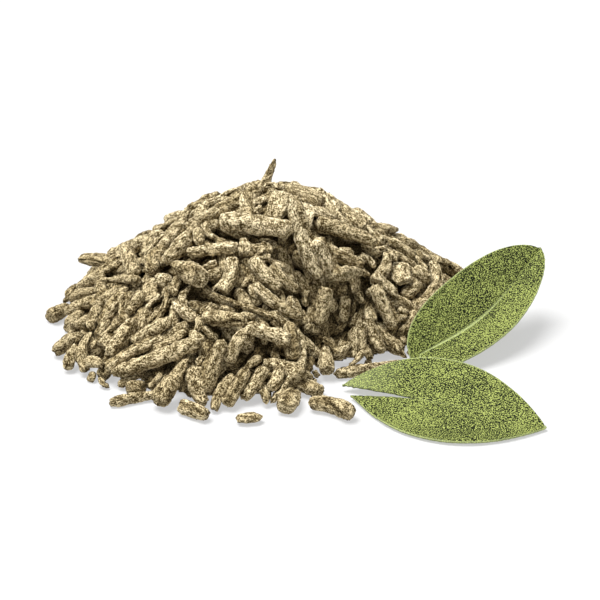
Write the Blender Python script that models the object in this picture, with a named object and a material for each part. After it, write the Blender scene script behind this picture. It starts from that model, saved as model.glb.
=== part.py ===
"""A heap of cut dried sage with two fresh sage leaves.

The heap is a pile of short, dry, rolled-up scraps of leaf. The scraps that lie open on its outside
are separate pieces. The ones below and between them are joined into one lumpy solid with a flat
base. One fresh leaf leans on the right flank of the heap. The other lies in front of it, with its
split stem end towards the heap.

Metres, +Z up, -Y is the front. The origin is on the ground, below the top of the heap.
"""

import math
import random
from collections import namedtuple

import bmesh
import bpy
import numpy as np
from mathutils import Vector

MM = 0.001
GAP = 0.3 * MM  # clear space kept between neighbouring pieces

# The heap as a whole
HEAP_HEIGHT = 40 * MM
CREST = 0.20  # how round the top is, as a share of the way out to the foot
RIM_SHARE = 0.95  # out to this share of the foot's distance the heap is at least RIM_DEPTH thick
RIM_DEPTH = 4 * MM
CORE_DEPTH = 9 * MM  # the scraps are laid one by one only in this outer layer
FOOT = (  # heading from +X in degrees, distance from the origin to the foot in mm
    (0, 71), (30, 65), (60, 60), (90, 58), (120, 59), (150, 65), (180, 64), (197, 63), (212, 71),
    (227, 69), (240, 67), (251, 68), (262, 64), (272, 62), (281, 59), (290, 45), (303, 47), (320, 52),
    (335, 58), (348, 68),
)

# Kinds of scrap: share of the heap, shortest and longest, thinnest and thickest (half widths) in mm,
# and the least and most thickness as a share of the width
Kind = namedtuple("Kind", "share short long thin thick flattest roundest")
KINDS = {
    "roll": Kind(0.50, 9.0, 15.5, 1.6, 2.5, 0.75, 1.0),
    "long_roll": Kind(0.26, 15.5, 24.0, 1.6, 2.4, 0.78, 1.0),
    "flake": Kind(0.08, 9.0, 13.0, 2.9, 4.0, 0.38, 0.46),
    "crumb": Kind(0.09, 4.5, 8.0, 1.5, 2.4, 0.80, 1.0),
    "stem": Kind(0.07, 12.0, 21.0, 0.9, 1.3, 1.0, 1.0),
}
MOST_BOW = 0.17  # sideways bend, as a share of the length
PROPPED = 0.3  # this share of the scraps rests on one end, tilted up between these angles
PROP_ANGLES = (math.radians(8), math.radians(28))
MOST_ON_KNOWN = 0.2  # how much of a scrap's length may cross a scrap with a known place
LEAF_CLEARANCE = 0.7 * MM
FLOOR_CLEARANCE = 0.2 * MM  # only the joined scraps stand on the ground
STEEPEST = math.radians(58)
SEED = 7

# Scraps with a known place: name, kind, x, y in mm, heading in degrees, length and width in mm,
# thickness as a share of the width, bow, and where it doesn't lie as it falls, height in mm and tilt
Known = namedtuple("Known", "name kind x y heading length width flatness bow height tilt")
KNOWN = (
    Known("apex_spike", "stem", -1, 3, 20, 17, 3.4, 1.0, 0.00, 40.3, 66),
    Known("crest_flake", "flake", 2, -9, 69, 15, 7.4, 0.45, 0.00, None, None),
    Known("crest_long_roll", "long_roll", -3, -18, -20, 22, 5.4, 1.0, 0.05, None, None),
    Known("front_slope_roll", "long_roll", 11, -21, -46, 25, 5.0, 1.0, -0.05, None, None),
    Known("left_slope_roll", "roll", -22, -28, -61, 19, 5.6, 1.0, 0.04, None, None),
    Known("left_shoulder_roll", "long_roll", -41, -6, -75, 20, 4.2, 1.0, 0.03, None, None),
    Known("left_edge_flake", "flake", -54, 18, -20, 12, 6.5, 0.50, 0.00, 9, 0),
    Known("left_foot_crumb", "crumb", -63, -5, 53, 9, 4.4, 1.0, 0.00, None, None),
    Known("right_shoulder_roll", "long_roll", 23, -9, -3, 19, 4.6, 1.0, 0.06, None, None),
    Known("right_slope_roll", "roll", 17, -24, -13, 14, 4.6, 1.0, 0.00, None, None),
    Known("right_slope_long_roll", "long_roll", 24, -24, 66, 18, 4.6, 1.0, 0.05, None, None),
    Known("right_foot_roll", "roll", 34, -24, -39, 15, 4.4, 1.0, 0.00, None, None),
    Known("right_low_roll", "roll", 16, -31, 59, 12, 4.4, 1.0, 0.00, None, None),
    Known("right_flat_roll", "long_roll", 29, -41, 18, 21, 3.4, 1.0, 0.00, None, None),
    Known("foot_crumb", "crumb", 17, -42, -85, 8, 4.2, 1.0, 0.00, None, None),
    Known("foot_upright_roll", "roll", 7, -45, -82, 11, 4.2, 1.0, 0.00, None, None),
    Known("front_arched_roll", "roll", -7, -50, 35, 12, 4.4, 1.0, 0.15, None, None),
    Known("front_short_roll", "roll", 2, -46, -27, 12, 4.2, 1.0, 0.00, None, None),
    Known("front_leaning_roll", "roll", -11, -44, -23, 14, 4.4, 1.0, 0.00, None, None),
    Known("front_foot_roll", "roll", -14, -55, 63, 15, 4.6, 1.0, 0.04, None, None),
    Known("front_thick_roll", "roll", -25, -57, 55, 16, 5.6, 0.9, 0.00, None, None),
    Known("front_long_roll", "long_roll", -30, -49, -2, 27, 4.6, 1.0, -0.05, None, None),
    Known("front_thin_roll", "long_roll", -36, -58, 21, 14, 2.8, 1.0, 0.03, None, None),
    Known("loose_curved_roll", "roll", 18, -65, -30, 13, 4.6, 1.0, 0.14, None, None),
    Known("loose_lumpy_roll", "roll", 7, -61, 75, 11, 6.4, 0.8, 0.00, None, None),
    Known("loose_flat_crumb", "crumb", -4, -69, 5, 7, 4.4, 0.6, 0.00, None, None),
    Known("loose_pointed_roll", "roll", -19, -66, -35, 10, 4.2, 0.9, 0.00, None, None),
    Known("leaf_prop_roll", "roll", 48, -50, 8, 13, 4.2, 1.0, 0.05, None, None),
    Known("leaf_prop_stem", "stem", 60, -59, -25, 16, 2.4, 1.0, 0.03, None, None),
)

# The height field on which the scraps are laid
CELL = 0.5 * MM
FIELD = 94 * MM
SIDE = int(round(2 * FIELD / CELL)) + 1
STATIONS = np.linspace(-1.0, 1.0, 9)
LEAST_LOW = 12  # so few low cells need no more scraps
GIVE_UP = 2  # cells to each side that are given up where no scrap fits
PICKS = 10  # low cells of which the lowest is filled
DRAWS = 2  # scraps tried at a place
HEADINGS = 4  # ways to turn each of them

# The solids
MOST_SEPARATE = 57
SOLID_SHARE = 0.92  # a solid's width against the room that its scrap takes up
FLAKE_WEIGHT = 0.5  # a flake counts for less when the separate scraps are picked
FOOT_SHARE = 0.72  # beyond this share a known scrap may lie on the ground, beside the joined ones
TUBE = (8, (-1.0, -0.82, -0.4, 0.0, 0.4, 0.82, 1.0))  # sides and places along the length
JOINED_TUBE = (6, (-1.0, -0.75, 0.0, 0.75, 1.0))
MOST_JOINED = 90
LEAST_SHOWN = 30 * CELL * CELL  # a joined scrap that shows less is left out
LEAST_BITE = 0.4 * MM  # how deep a joined scrap sits in the bed
JOINED_GAP = 0.05 * MM

# The bed of the joined scraps: the smoothed heap below the separate ones
BED_RINGS = 22
BED_SHARE = 0.95  # it reaches this share of the way to the foot
BED_LEAST = 1.0 * MM
BED_BELOW = 2.3 * MM
BED_CLEARANCE = 3.3 * MM  # sideways, from a separate scrap to the bed's full height
SMOOTH_CELLS = 4
PEAK_CELLS = 6
MOST_PEAK = 0.3 * MM
RIM_STEPS = 720
RIM_SMOOTH = 20  # steps to each side over which the rim is rounded

LEAF_THICKNESS = 1.0 * MM
STALK_WIDTH = 0.9 * MM  # to each side
OUTLINE_POWER = 0.62  # below 1 the outline is fuller towards both ends
DRAWN_POWER = 6  # how close to the end an outline is drawn out
LEAF_SAMPLES = (160, 60)  # rows and columns of points that hold the scraps down
LEAF_ROWS = 22
LEAF_COLUMNS = 5

# A scrap of dried leaf: its middle, the heading and tilt of its length, and its size
Scrap = namedtuple("Scrap", "name kind x y z heading tilt length width depth bow")

# A fresh leaf: the stem end and the tip of its blade, which way its face looks, the crest of its
# midrib and how far it sways to the right, how much its stem end and its tip are drawn out to a point,
# and for its left and right half (seen from the stem end) the width, the slope against the leaf's face,
# how far its widest place is moved along the leaf, how far its stem end is split open and the share of
# the leaf at which that end starts
Half = namedtuple("Half", "width slope skew opening start")
Leaf = namedtuple("Leaf", "name stem tip face crest sway horned pointed left right split stalk")

LEAVES = (
    Leaf(
        name="leaning_leaf",
        stem=Vector((43.5, -42.5, 1.6)) * MM,
        tip=Vector((81.6, 1.0, 20.6)) * MM,
        face=Vector((0.15, -0.55, 0.82)),
        crest=-1.0 * MM,
        sway=1.4 * MM,
        horned=0.0,
        pointed=0.0,
        left=Half(14.4 * MM, math.radians(10), 0.80, 0.0, 0.0),
        right=Half(10.8 * MM, math.radians(28), 0.97, 0.0, 0.0),
        split=0.0,
        stalk=0.10,
    ),
    Leaf(
        name="lying_leaf",
        stem=Vector((20.3, -52.5, 1.6)) * MM,
        tip=Vector((74.5, -73.3, 0.9)) * MM,
        face=Vector((0.0, 0.0, 1.0)),
        crest=1.6 * MM,
        sway=0.0,
        horned=0.5,
        pointed=0.48,
        left=Half(16.4 * MM, math.radians(20), 0.9, 1.5 * MM, 0.0),
        right=Half(17.4 * MM, math.radians(-8), 1.15, 2.4 * MM, 0.04),
        split=0.40,
        stalk=0.0,
    ),
)


def foot_distance(heading):
    """How far the foot of the heap is from the origin, for an array of headings in radians."""
    headings, distances = zip(*FOOT)
    return np.interp(np.degrees(heading) % 360.0, headings, distances, period=360) * MM


def heap_top(x, y):
    """The height that the heap reaches at each place."""
    share = np.hypot(x, y) / foot_distance(np.arctan2(y, x))
    end = math.hypot(1.0, CREST)
    cone = HEAP_HEIGHT * (end - np.hypot(share, CREST)) / (end - CREST)
    return np.where(share < RIM_SHARE, np.maximum(cone, RIM_DEPTH), np.maximum(cone, 0.0))


def taper(t):
    """A scrap's thickness along its length, t from -1 to 1, against the thickness at its middle."""
    return np.sqrt(np.maximum(1.0 - 0.35 * t**2 - 0.45 * t**8, 0.05))


def centre_line(scrap, t):
    """Points on the line through the middle of a scrap."""
    along = t * scrap.length / 2 * math.cos(scrap.tilt)
    aside = scrap.bow * scrap.length * (0.5 - t * t)
    c, s = math.cos(scrap.heading), math.sin(scrap.heading)
    return np.stack(
        [
            scrap.x + along * c - aside * s,
            scrap.y + along * s + aside * c,
            scrap.z + t * scrap.length / 2 * math.sin(scrap.tilt),
        ],
        -1,
    )


def half_shape(leaf, half, share):
    """A leaf half's width at a share of the blade's length, against its greatest width."""
    moved = min(max(share, 0.0), 1.0) ** half.skew
    drawn = (1.0 - leaf.horned * (1.0 - moved) ** DRAWN_POWER) * (1.0 - leaf.pointed * moved**DRAWN_POWER)
    return (4.0 * moved * (1.0 - moved)) ** OUTLINE_POWER * drawn


class Field:
    """The height of the heap so far, and what still has to be filled."""

    def __init__(self):
        line = np.linspace(-FIELD, FIELD, SIDE)
        self.x, self.y = np.meshgrid(line, line, indexing="ij")
        self.target = heap_top(self.x, self.y)
        self.top = np.maximum(self.target - CORE_DEPTH, FLOOR_CLEARANCE)
        self.ceiling = np.full_like(self.top, 1.0)
        self.owner = np.full(self.top.shape, -1)
        self.kept = np.zeros(self.top.shape, bool)

    def cell(self, value):
        return np.clip(np.rint((np.asarray(value) + FIELD) / CELL).astype(int), 0, SIDE - 1)

    def put_leaf(self, points):
        """Keeps the scraps below a leaf, and lets them rise to carry it where it is close."""
        ix, iy = self.cell(points[:, 0]), self.cell(points[:, 1])
        np.minimum.at(self.ceiling, (ix, iy), points[:, 2] - LEAF_THICKNESS - GAP)

    def fill_under_leaves(self, most_rise):
        covered = (self.ceiling < 0.5) & (self.target > 0)
        risen = np.maximum(np.minimum(self.ceiling, self.target + most_rise), 0.0)
        self.target = np.where(covered, risen, self.target)

    def below_leaves(self, scrap):
        """True where no part of a scrap comes near a leaf."""
        points = centre_line(scrap, STATIONS)
        c, s = math.cos(scrap.heading), math.sin(scrap.heading)
        top = points[:, 2] + scrap.depth + LEAF_CLEARANCE
        for aside in (-1.0, 0.0, 1.0):
            ix = self.cell(points[:, 0] - s * aside * scrap.width)
            iy = self.cell(points[:, 1] + c * aside * scrap.width)
            if (top - abs(aside) * scrap.depth / 2 > self.ceiling[ix, iy]).any():
                return False
        return True

    def rest(self, scrap, lift):
        """The height and tilt at which a scrap comes to rest, one end propped up by lift."""
        points = centre_line(scrap._replace(z=0.0, tilt=0.0), STATIONS)
        reach = taper(STATIONS)
        c, s = math.cos(scrap.heading), math.sin(scrap.heading)
        need = np.full(len(STATIONS), -1.0)
        for aside in (-0.7, 0.0, 0.7):
            ix = self.cell(points[:, 0] - s * aside * reach * scrap.width)
            iy = self.cell(points[:, 1] + c * aside * reach * scrap.width)
            need = np.maximum(need, self.top[ix, iy] + scrap.depth * reach * math.sqrt(1 - aside * aside))
        run = STATIONS * scrap.length / 2
        middle = len(STATIONS) // 2
        left, right = np.arange(middle), np.arange(middle + 1, len(STATIONS))
        i, j = np.meshgrid(left, right, indexing="ij")
        held = (need[i] * run[j] - need[j] * run[i]) / (run[j] - run[i])
        best = np.unravel_index(np.argmax(held), held.shape)
        if held[best] >= need[middle]:
            low, high = i[best], j[best]
            height = held[best]
            slope = (need[high] - need[low]) / (run[high] - run[low])
        else:
            low, high = 0, len(STATIONS) - 1
            height = need[middle]
            rightwards = ((need[right] - height) / run[right]).max()
            leftwards = ((need[left] - height) / run[left]).min()
            slope = rightwards if abs(rightwards) < abs(leftwards) else leftwards
        if lift > 0:
            pivot = low if slope >= 0 else high
            slope = math.tan(math.atan(slope) + math.copysign(lift, slope))
            height = need[pivot] - slope * run[pivot]
        return height, math.atan(slope)

    def stamp(self, scrap, index, keep=False):
        """Adds a scrap to the heap."""
        count = max(5, int(scrap.length / CELL))
        t = np.linspace(-1.0, 1.0, count)
        reach = int(math.ceil(scrap.width / CELL)) + 1
        for (x, y, z), share in zip(centre_line(scrap, t), taper(t)):
            i, j = self.cell(x), self.cell(y)
            part = (slice(max(i - reach, 0), i + reach + 1), slice(max(j - reach, 0), j + reach + 1))
            away = ((self.x[part] - x) ** 2 + (self.y[part] - y) ** 2) / (scrap.width * share) ** 2
            height = np.where(away < 1, z + scrap.depth * share * np.sqrt(np.maximum(1 - away, 0)), -1.0)
            higher = height > self.top[part]
            self.top[part][higher] = height[higher]
            self.owner[part][higher] = index
            if keep:
                self.kept[part] |= away < 1


def draw_scrap(rng, kinds):
    """A scrap of random size, not yet placed."""
    name = rng.choices(kinds, [KINDS[kind].share for kind in kinds])[0]
    kind = KINDS[name]
    width = rng.uniform(kind.thin, kind.thick) * MM
    length = rng.uniform(kind.short, kind.long) * MM
    depth = width * rng.uniform(kind.flattest, kind.roundest)
    bow = rng.uniform(-MOST_BOW, MOST_BOW)
    return Scrap("", name, 0.0, 0.0, 0.0, 0.0, 0.0, length, width, depth, bow)


def settle(field, scrap, lift):
    """The scrap where it comes to rest, rounded so that tiny differences don't add up."""
    height, tilt = field.rest(scrap, lift)
    return scrap._replace(z=round(float(height), 5), tilt=round(float(tilt), 3))


def find_rest(field, rng, scrap, x, y, below, propped, most_over):
    """The best of a few headings for a scrap at a place, or None where none is any good."""
    best = None
    for _ in range(HEADINGS):
        heading = round(rng.uniform(0, math.pi), 3)
        prop = rng.random() < propped and scrap.kind not in ("crumb", "flake")
        lift = rng.uniform(*PROP_ANGLES) if prop else 0.0
        tried = settle(field, scrap._replace(x=round(x, 5), y=round(y, 5), heading=heading), lift)
        if abs(tried.tilt) > STEEPEST or not field.below_leaves(tried):
            continue
        points = centre_line(tried, STATIONS)
        where = field.cell(points[:, 0]), field.cell(points[:, 1])
        if field.kept[where].mean() > MOST_ON_KNOWN:
            continue
        over = (points[:, 2] + tried.depth * 0.6 - field.target[where] + below).max()
        if over <= most_over and (best is None or over < best[0]):
            best = (over, tried)
    return best and best[1]


def fill(field, scraps, rng, kinds, below, stop, most_over, propped=PROPPED):
    """Drops scraps where the heap is lowest, until it is within stop of its height less below."""
    given_up = field.kept.copy()
    while True:
        room = np.where(given_up, -1.0, field.target - below - field.top)
        low = np.flatnonzero(room > stop)
        if len(low) < LEAST_LOW:
            break
        picked = [low[rng.randrange(len(low))] for _ in range(PICKS)]
        cell = max(picked, key=lambda c: room.flat[c])
        x, y = float(field.x.flat[cell]), float(field.y.flat[cell])
        for _ in range(DRAWS):
            found = find_rest(field, rng, draw_scrap(rng, kinds), x, y, below, propped, most_over)
            if found:
                scraps.append(found)
                field.stamp(found, len(scraps) - 1)
                break
        else:
            i, j = field.cell(x), field.cell(y)
            given_up[i - GIVE_UP:i + GIVE_UP + 1, j - GIVE_UP:j + GIVE_UP + 1] = True


def lay_known(field, scraps):
    """Lays the scraps with a known place."""
    for k in KNOWN:
        width = k.width / 2 * MM
        scrap = Scrap(
            k.name, k.kind, k.x * MM, k.y * MM, 0.0, math.radians(k.heading), 0.0,
            k.length * MM, width, width * k.flatness, k.bow,
        )
        if k.height is None:
            scrap = settle(field, scrap, 0.0)
        else:
            scrap = scrap._replace(z=k.height * MM, tilt=math.radians(k.tilt))
        scraps.append(scrap)
        field.stamp(scrap, len(scraps) - 1, keep=True)


def lay_heap(leaf_points):
    """Every scrap of the heap's outer layer, and the height field that they make."""
    field, rng, scraps = Field(), random.Random(SEED), []
    for points in leaf_points:
        field.put_leaf(points)
    field.fill_under_leaves(7 * MM)
    every = tuple(KINDS)
    fill(field, scraps, rng, every, below=6.5 * MM, stop=0.8 * MM, most_over=3.0 * MM)
    fill(field, scraps, rng, every, below=3.8 * MM, stop=1.0 * MM, most_over=3.5 * MM)
    lay_known(field, scraps)
    fill(field, scraps, rng, every, below=0.0, stop=1.8 * MM, most_over=3.5 * MM)
    fill(field, scraps, rng, ("crumb", "roll"), below=0.0, stop=2.0 * MM, most_over=2.5 * MM)
    fill(field, scraps, rng, ("crumb",), below=0.0, stop=2.6 * MM, most_over=1.5 * MM, propped=0.0)
    return field, scraps


def leaf_point(leaf, share, across, left):
    """A point on a leaf's face: share along the blade, across its left or right half from 0 to 1."""
    axis = leaf.tip - leaf.stem
    up = (leaf.face - leaf.face.project(axis)).normalized()
    half = leaf.left if left else leaf.right
    aside = up.cross(axis).normalized() * (1 if left else -1)
    parted = max(0.0, 1.0 - share / leaf.split) if leaf.split else 0.0
    inner = half.opening * parted
    if share < 0:
        reach = STALK_WIDTH * across
    else:
        stalk = STALK_WIDTH * max(0.0, 1.0 - share / leaf.stalk) if leaf.stalk else 0.0
        outer = max(half.width * half_shape(leaf, half, share), inner, stalk)
        reach = inner + (outer - inner) * across
    middle = leaf.stem + axis * (share + half.start * parted)
    middle = middle + up * leaf.crest * 4.0 * max(share, 0.0) * (1.0 - share)
    swayed = leaf.sway * math.sin(math.pi * max(share, 0.0)) ** 2
    middle = middle - up.cross(axis).normalized() * swayed
    point = middle + aside * reach * math.cos(half.slope) + up * reach * math.sin(half.slope)
    point.z = max(point.z, LEAF_THICKNESS + FLOOR_CLEARANCE + 0.05 * MM)
    return point


def leaf_faces(leaf, rows, columns):
    """Both halves of a leaf as grids of points, from the stem end to the tip."""
    start = -leaf.stalk
    shares = [start + (1.0 - start) * (0.5 - 0.5 * math.cos(math.pi * i / rows)) for i in range(rows + 1)]
    return [
        [[leaf_point(leaf, share, c / columns, left) for c in range(columns + 1)] for share in shares]
        for left in (True, False)
    ]


def separate_scraps(field, scraps):
    """The scraps that show most and stand clear of each other, which become solids of their own."""
    shown = shown_area(field, scraps)
    order = sorted(range(len(scraps)), key=lambda i: (not scraps[i].name, -shown[i]))
    chosen = []
    for i in order:
        scrap = scraps[i]
        beside = bool(scrap.name) and foot_share(scrap) > FOOT_SHARE
        if len(chosen) < MOST_SEPARATE and (beside or stands_above(scrap)):
            if all(clear_of(scrap, scraps[j], GAP) for j in chosen):
                chosen.append(i)
    return chosen


def joined_scraps(field, scraps, chosen, bed):
    """The other scraps that show, each clear of all the rest and sitting in the bed."""
    shown = shown_area(field, scraps)
    separate = [scraps[i] for i in chosen]
    found = []
    for i in sorted(range(len(scraps)), key=lambda i: -shown[i]):
        scrap = scraps[i]
        if i in chosen or shown[i] < LEAST_SHOWN or len(found) == MOST_JOINED:
            continue
        if sits_in(field, scrap, bed, separate) and all(clear_of(scrap, other, GAP) for other in separate):
            if all(clear_of(scrap, other, JOINED_GAP) for other in found):
                found.append(scrap)
    return found


def sits_in(field, scrap, bed, separate):
    """True for a scrap that bites into the bed in one stretch, so that no hollow is closed off below."""
    t = np.linspace(-1.0, 1.0, 21)
    points = centre_line(scrap, t)
    edge = bed_edge(np.arctan2(points[:, 1], points[:, 0]), separate)
    inside = np.hypot(points[:, 0], points[:, 1]) < edge
    c, s = math.cos(scrap.heading), math.sin(scrap.heading)
    for aside in (-0.6, 0.0, 0.6):
        low = points[:, 2] - scrap.depth * SOLID_SHARE * taper(t) * math.sqrt(1 - aside * aside)
        ix = field.cell(points[:, 0] - s * aside * scrap.width)
        iy = field.cell(points[:, 1] + c * aside * scrap.width)
        bites = inside & (bed[ix, iy] - low > (LEAST_BITE if aside == 0 else 0.0))
        if np.count_nonzero(np.diff(bites)) > 2:
            return False
        if aside == 0 and (bites.sum() < len(t) // 2 or low.min() <= 0):
            return False
    return True


def shown_area(field, scraps):
    """The area of each scrap that is seen from above, with less weight for a flake."""
    cells = np.bincount(field.owner[field.owner >= 0], minlength=len(scraps))
    weights = np.array([FLAKE_WEIGHT if scrap.kind == "flake" else 1.0 for scrap in scraps])
    return cells * CELL * CELL * weights


def foot_share(scrap):
    """How far out a scrap lies, against the foot of the heap."""
    return math.hypot(scrap.x, scrap.y) / float(foot_distance(math.atan2(scrap.y, scrap.x)))


def stands_above(scrap):
    """True for a scrap that leaves room for the bed below it."""
    points = centre_line(scrap, STATIONS)
    return bool((points[:, 2] - scrap.depth * SOLID_SHARE - GAP > BED_LEAST).all())


def clear_of(one, other, gap):
    """True where two scraps' solids are at least a gap apart."""
    t = np.linspace(-1.0, 1.0, 13)
    apart = np.linalg.norm(centre_line(one, t)[:, None] - centre_line(other, t)[None], axis=-1)
    radii = SOLID_SHARE * (one.width * taper(t)[:, None] + other.width * taper(t)[None])
    return bool((apart > radii + gap).all())


def bed_edge(headings, separate):
    """How far out the bed reaches, drawn in where a separate scrap lies on the ground."""
    around = np.arange(RIM_STEPS) * 2 * math.pi / RIM_STEPS
    edge = BED_SHARE * foot_distance(around)
    for scrap in separate:
        if stands_above(scrap):
            continue
        for x, y, _ in centre_line(scrap, np.linspace(-1.0, 1.0, 21)):
            room = scrap.width + BED_CLEARANCE
            out = math.hypot(x, y)
            turn = np.abs((around - math.atan2(y, x) + math.pi) % (2 * math.pi) - math.pi)
            edge = np.where(turn < room / out, np.minimum(edge, out - room), edge)
    near = range(-RIM_SMOOTH, RIM_SMOOTH + 1)
    edge = np.min([np.roll(edge, k) for k in near], axis=0)
    edge = np.mean([np.roll(edge, k) for k in near], axis=0)
    return np.interp(headings, around, edge, period=2 * math.pi)


def blurred(height, reach):
    """The height field averaged over a square of cells, reach to each side."""
    count = 2 * reach + 1
    for _ in range(2):
        padded = np.pad(height, ((reach + 1, reach), (0, 0)), mode="edge").cumsum(axis=0)
        height = ((padded[count:] - padded[:-count]) / count).T
    return height


def bed_height(field, separate):
    """The top of the bed, without single peaks and below the separate scraps."""
    limit = np.full_like(field.top, 1.0)
    for scrap in separate:
        t = np.linspace(-1.0, 1.0, 25)
        for (x, y, z), share in zip(centre_line(scrap, t), taper(t)):
            near = np.hypot(field.x - x, field.y - y) < scrap.width * SOLID_SHARE * share + BED_CLEARANCE
            under = z - scrap.depth * SOLID_SHARE * share - GAP
            limit[near] = np.minimum(limit[near], under)
    height = np.minimum(blurred(field.top, SMOOTH_CELLS) - BED_BELOW, limit)
    for _ in range(4):
        height = np.minimum(height, blurred(height, PEAK_CELLS) + MOST_PEAK)
    return np.maximum(height, BED_LEAST)


def new_object(name, bm, material):
    mesh = bpy.data.meshes.new(name)
    bmesh.ops.recalc_face_normals(bm, faces=bm.faces)
    bm.to_mesh(mesh)
    bm.free()
    mesh.materials.append(material)
    obj = bpy.data.objects.new(name, mesh)
    bpy.context.scene.collection.objects.link(obj)
    return obj


def make_material(name, colour, roughness):
    material = bpy.data.materials.new(name)
    material.use_nodes = True
    shader = material.node_tree.nodes["Principled BSDF"]
    shader.inputs["Base Color"].default_value = (*colour, 1.0)
    shader.inputs["Roughness"].default_value = roughness
    shader.inputs["Metallic"].default_value = 0.0
    return material


def add_tube(bm, scrap, origin, shape):
    """A bent tube with an oval section and closed ends, measured from origin."""
    sides, stations = shape
    t = np.array(stations)
    points = [Vector(p) - origin for p in centre_line(scrap, t)]
    rings = []
    for i, (point, share) in enumerate(zip(points, taper(t))):
        ahead = points[min(i + 1, len(points) - 1)] - points[max(i - 1, 0)]
        aside = Vector((0, 0, 1)).cross(ahead).normalized()
        up = ahead.cross(aside).normalized()
        ring = []
        for k in range(sides):
            angle = 2 * math.pi * k / sides
            wide = aside * math.cos(angle) * scrap.width * share * SOLID_SHARE
            high = up * math.sin(angle) * scrap.depth * share * SOLID_SHARE
            ring.append(bm.verts.new(point + wide + high))
        rings.append(ring)
    for ring, following in zip(rings, rings[1:]):
        for k in range(sides):
            after = (k + 1) % sides
            bm.faces.new((ring[k], ring[after], following[after], following[k]))
    bm.faces.new(rings[0])
    bm.faces.new(rings[-1])


def make_scrap(name, scrap, material):
    """A separate scrap, at its place."""
    bm = bmesh.new()
    origin = Vector((scrap.x, scrap.y, scrap.z))
    add_tube(bm, scrap, origin, TUBE)
    obj = new_object(name, bm, material)
    obj.location = origin
    obj.data.shade_smooth()
    return obj


def make_joined_scraps(bed, joined, material):
    """The bed with the joined scraps sitting in it, as one solid."""
    bm = bmesh.new()
    for scrap in joined:
        add_tube(bm, scrap, Vector(), JOINED_TUBE)
    helper = new_object("joined_scraps_tubes", bm, material)
    helper.hide_render = True
    helper.display_type = "WIRE"
    union = bed.modifiers.new("Joined scraps", "BOOLEAN")
    union.operation = "UNION"
    union.solver = "EXACT"
    union.object = helper


def make_bed(field, height, separate, material):
    """Rings of points from the middle to the foot, over a flat base."""
    shares, headings = [0.0], [0.0]
    for ring in range(1, BED_RINGS + 1):
        for k in range(6 * ring):
            shares.append(ring / BED_RINGS)
            headings.append(2 * math.pi * k / (6 * ring))
    headings = np.array(headings)
    out = np.array(shares) * bed_edge(headings, separate)
    x, y = out * np.cos(headings), out * np.sin(headings)
    z = height[field.cell(x), field.cell(y)]
    bm = bmesh.new()
    verts = [bm.verts.new(p) for p in zip(x, y, z)]
    first = [0] + [1 + 3 * ring * (ring - 1) for ring in range(1, BED_RINGS + 1)]
    for ring in range(BED_RINGS):
        inner, outer = max(6 * ring, 1), 6 * (ring + 1)
        for sector in range(6):
            for k in range(ring + 1):
                a = verts[first[ring] + (sector * ring + k) % inner]
                b = verts[first[ring + 1] + (sector * (ring + 1) + k) % outer]
                c = verts[first[ring + 1] + (sector * (ring + 1) + k + 1) % outer]
                bm.faces.new((a, b, c))
                if k < ring:
                    d = verts[first[ring] + (sector * ring + k + 1) % inner]
                    bm.faces.new((a, c, d))
    rim = verts[first[BED_RINGS]:]
    base = [bm.verts.new((v.co.x, v.co.y, 0.0)) for v in rim]
    for k, (top, low) in enumerate(zip(rim, base)):
        after = (k + 1) % len(rim)
        bm.faces.new((top, low, base[after], rim[after]))
    bm.faces.new(base)
    return new_object("joined_scraps", bm, material)


def make_leaf(leaf, material):
    """A thin folded sheet with the leaf's outline."""
    bm = bmesh.new()
    for grid in leaf_faces(leaf, LEAF_ROWS, LEAF_COLUMNS):
        verts = [[bm.verts.new(point) for point in row] for row in grid]
        for row, following in zip(verts, verts[1:]):
            for k in range(LEAF_COLUMNS):
                bm.faces.new((row[k], row[k + 1], following[k + 1], following[k]))
    bmesh.ops.remove_doubles(bm, verts=bm.verts, dist=0.05 * MM)
    obj = new_object(leaf.name, bm, material)
    if sum(face.normal.dot(leaf.face) for face in obj.data.polygons) < 0:
        obj.data.flip_normals()
    thickness = obj.modifiers.new("Thickness", "SOLIDIFY")
    thickness.thickness = LEAF_THICKNESS
    thickness.offset = -1.0
    obj.data.shade_smooth()
    return obj


def main():
    for obj in list(bpy.data.objects):
        bpy.data.objects.remove(obj)
    dried = make_material("Dried sage", (0.27, 0.21, 0.11), 0.95)
    dark = make_material("Dried sage in the shade", (0.16, 0.12, 0.06), 0.95)
    fresh = make_material("Fresh sage leaf", (0.20, 0.27, 0.075), 0.7)
    leaf_points = []
    for leaf in LEAVES:
        grids = leaf_faces(leaf, *LEAF_SAMPLES)
        leaf_points.append(np.array([point for grid in grids for row in grid for point in row]))
    field, scraps = lay_heap(leaf_points)
    chosen = separate_scraps(field, scraps)
    under = Field()
    for i, scrap in enumerate(scraps):
        if i not in chosen:
            under.stamp(scrap, i)
    separate = [scraps[i] for i in chosen]
    height = bed_height(under, separate)
    bed = make_bed(under, height, separate, dark)
    make_joined_scraps(bed, joined_scraps(field, scraps, chosen, height), dark)
    counts = {}
    for i in chosen:
        kind = scraps[i].kind
        counts[kind] = counts.get(kind, 0) + (not scraps[i].name)
        make_scrap(scraps[i].name or f"{kind}_{counts[kind]:02d}", scraps[i], dried)
    for leaf in LEAVES:
        make_leaf(leaf, fresh)


main()
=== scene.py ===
"""The looks of a heap of cut dried sage with two fresh sage leaves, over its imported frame.

The heap is laid scrap by scrap on a height field, in the same way as the frame's own solids, so every
scrap that is a node of its own lies where its node does. A Geometry Nodes tree grows each scrap from
its middle line into a rolled, wrinkled, crumbly piece of dried leaf. The scraps between the separate
ones, and the crumbs below them, stand for the frame's joined scraps. The leaves are thin, folded and
pebbled sheets.

Metres, +Z up, -Y is the front.
"""

import math
import random
from collections import namedtuple
from functools import lru_cache

import bmesh
import bpy
import numpy as np
from bpy.props import FloatProperty, FloatVectorProperty, IntProperty, PointerProperty
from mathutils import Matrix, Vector
from mathutils.noise import noise


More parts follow.
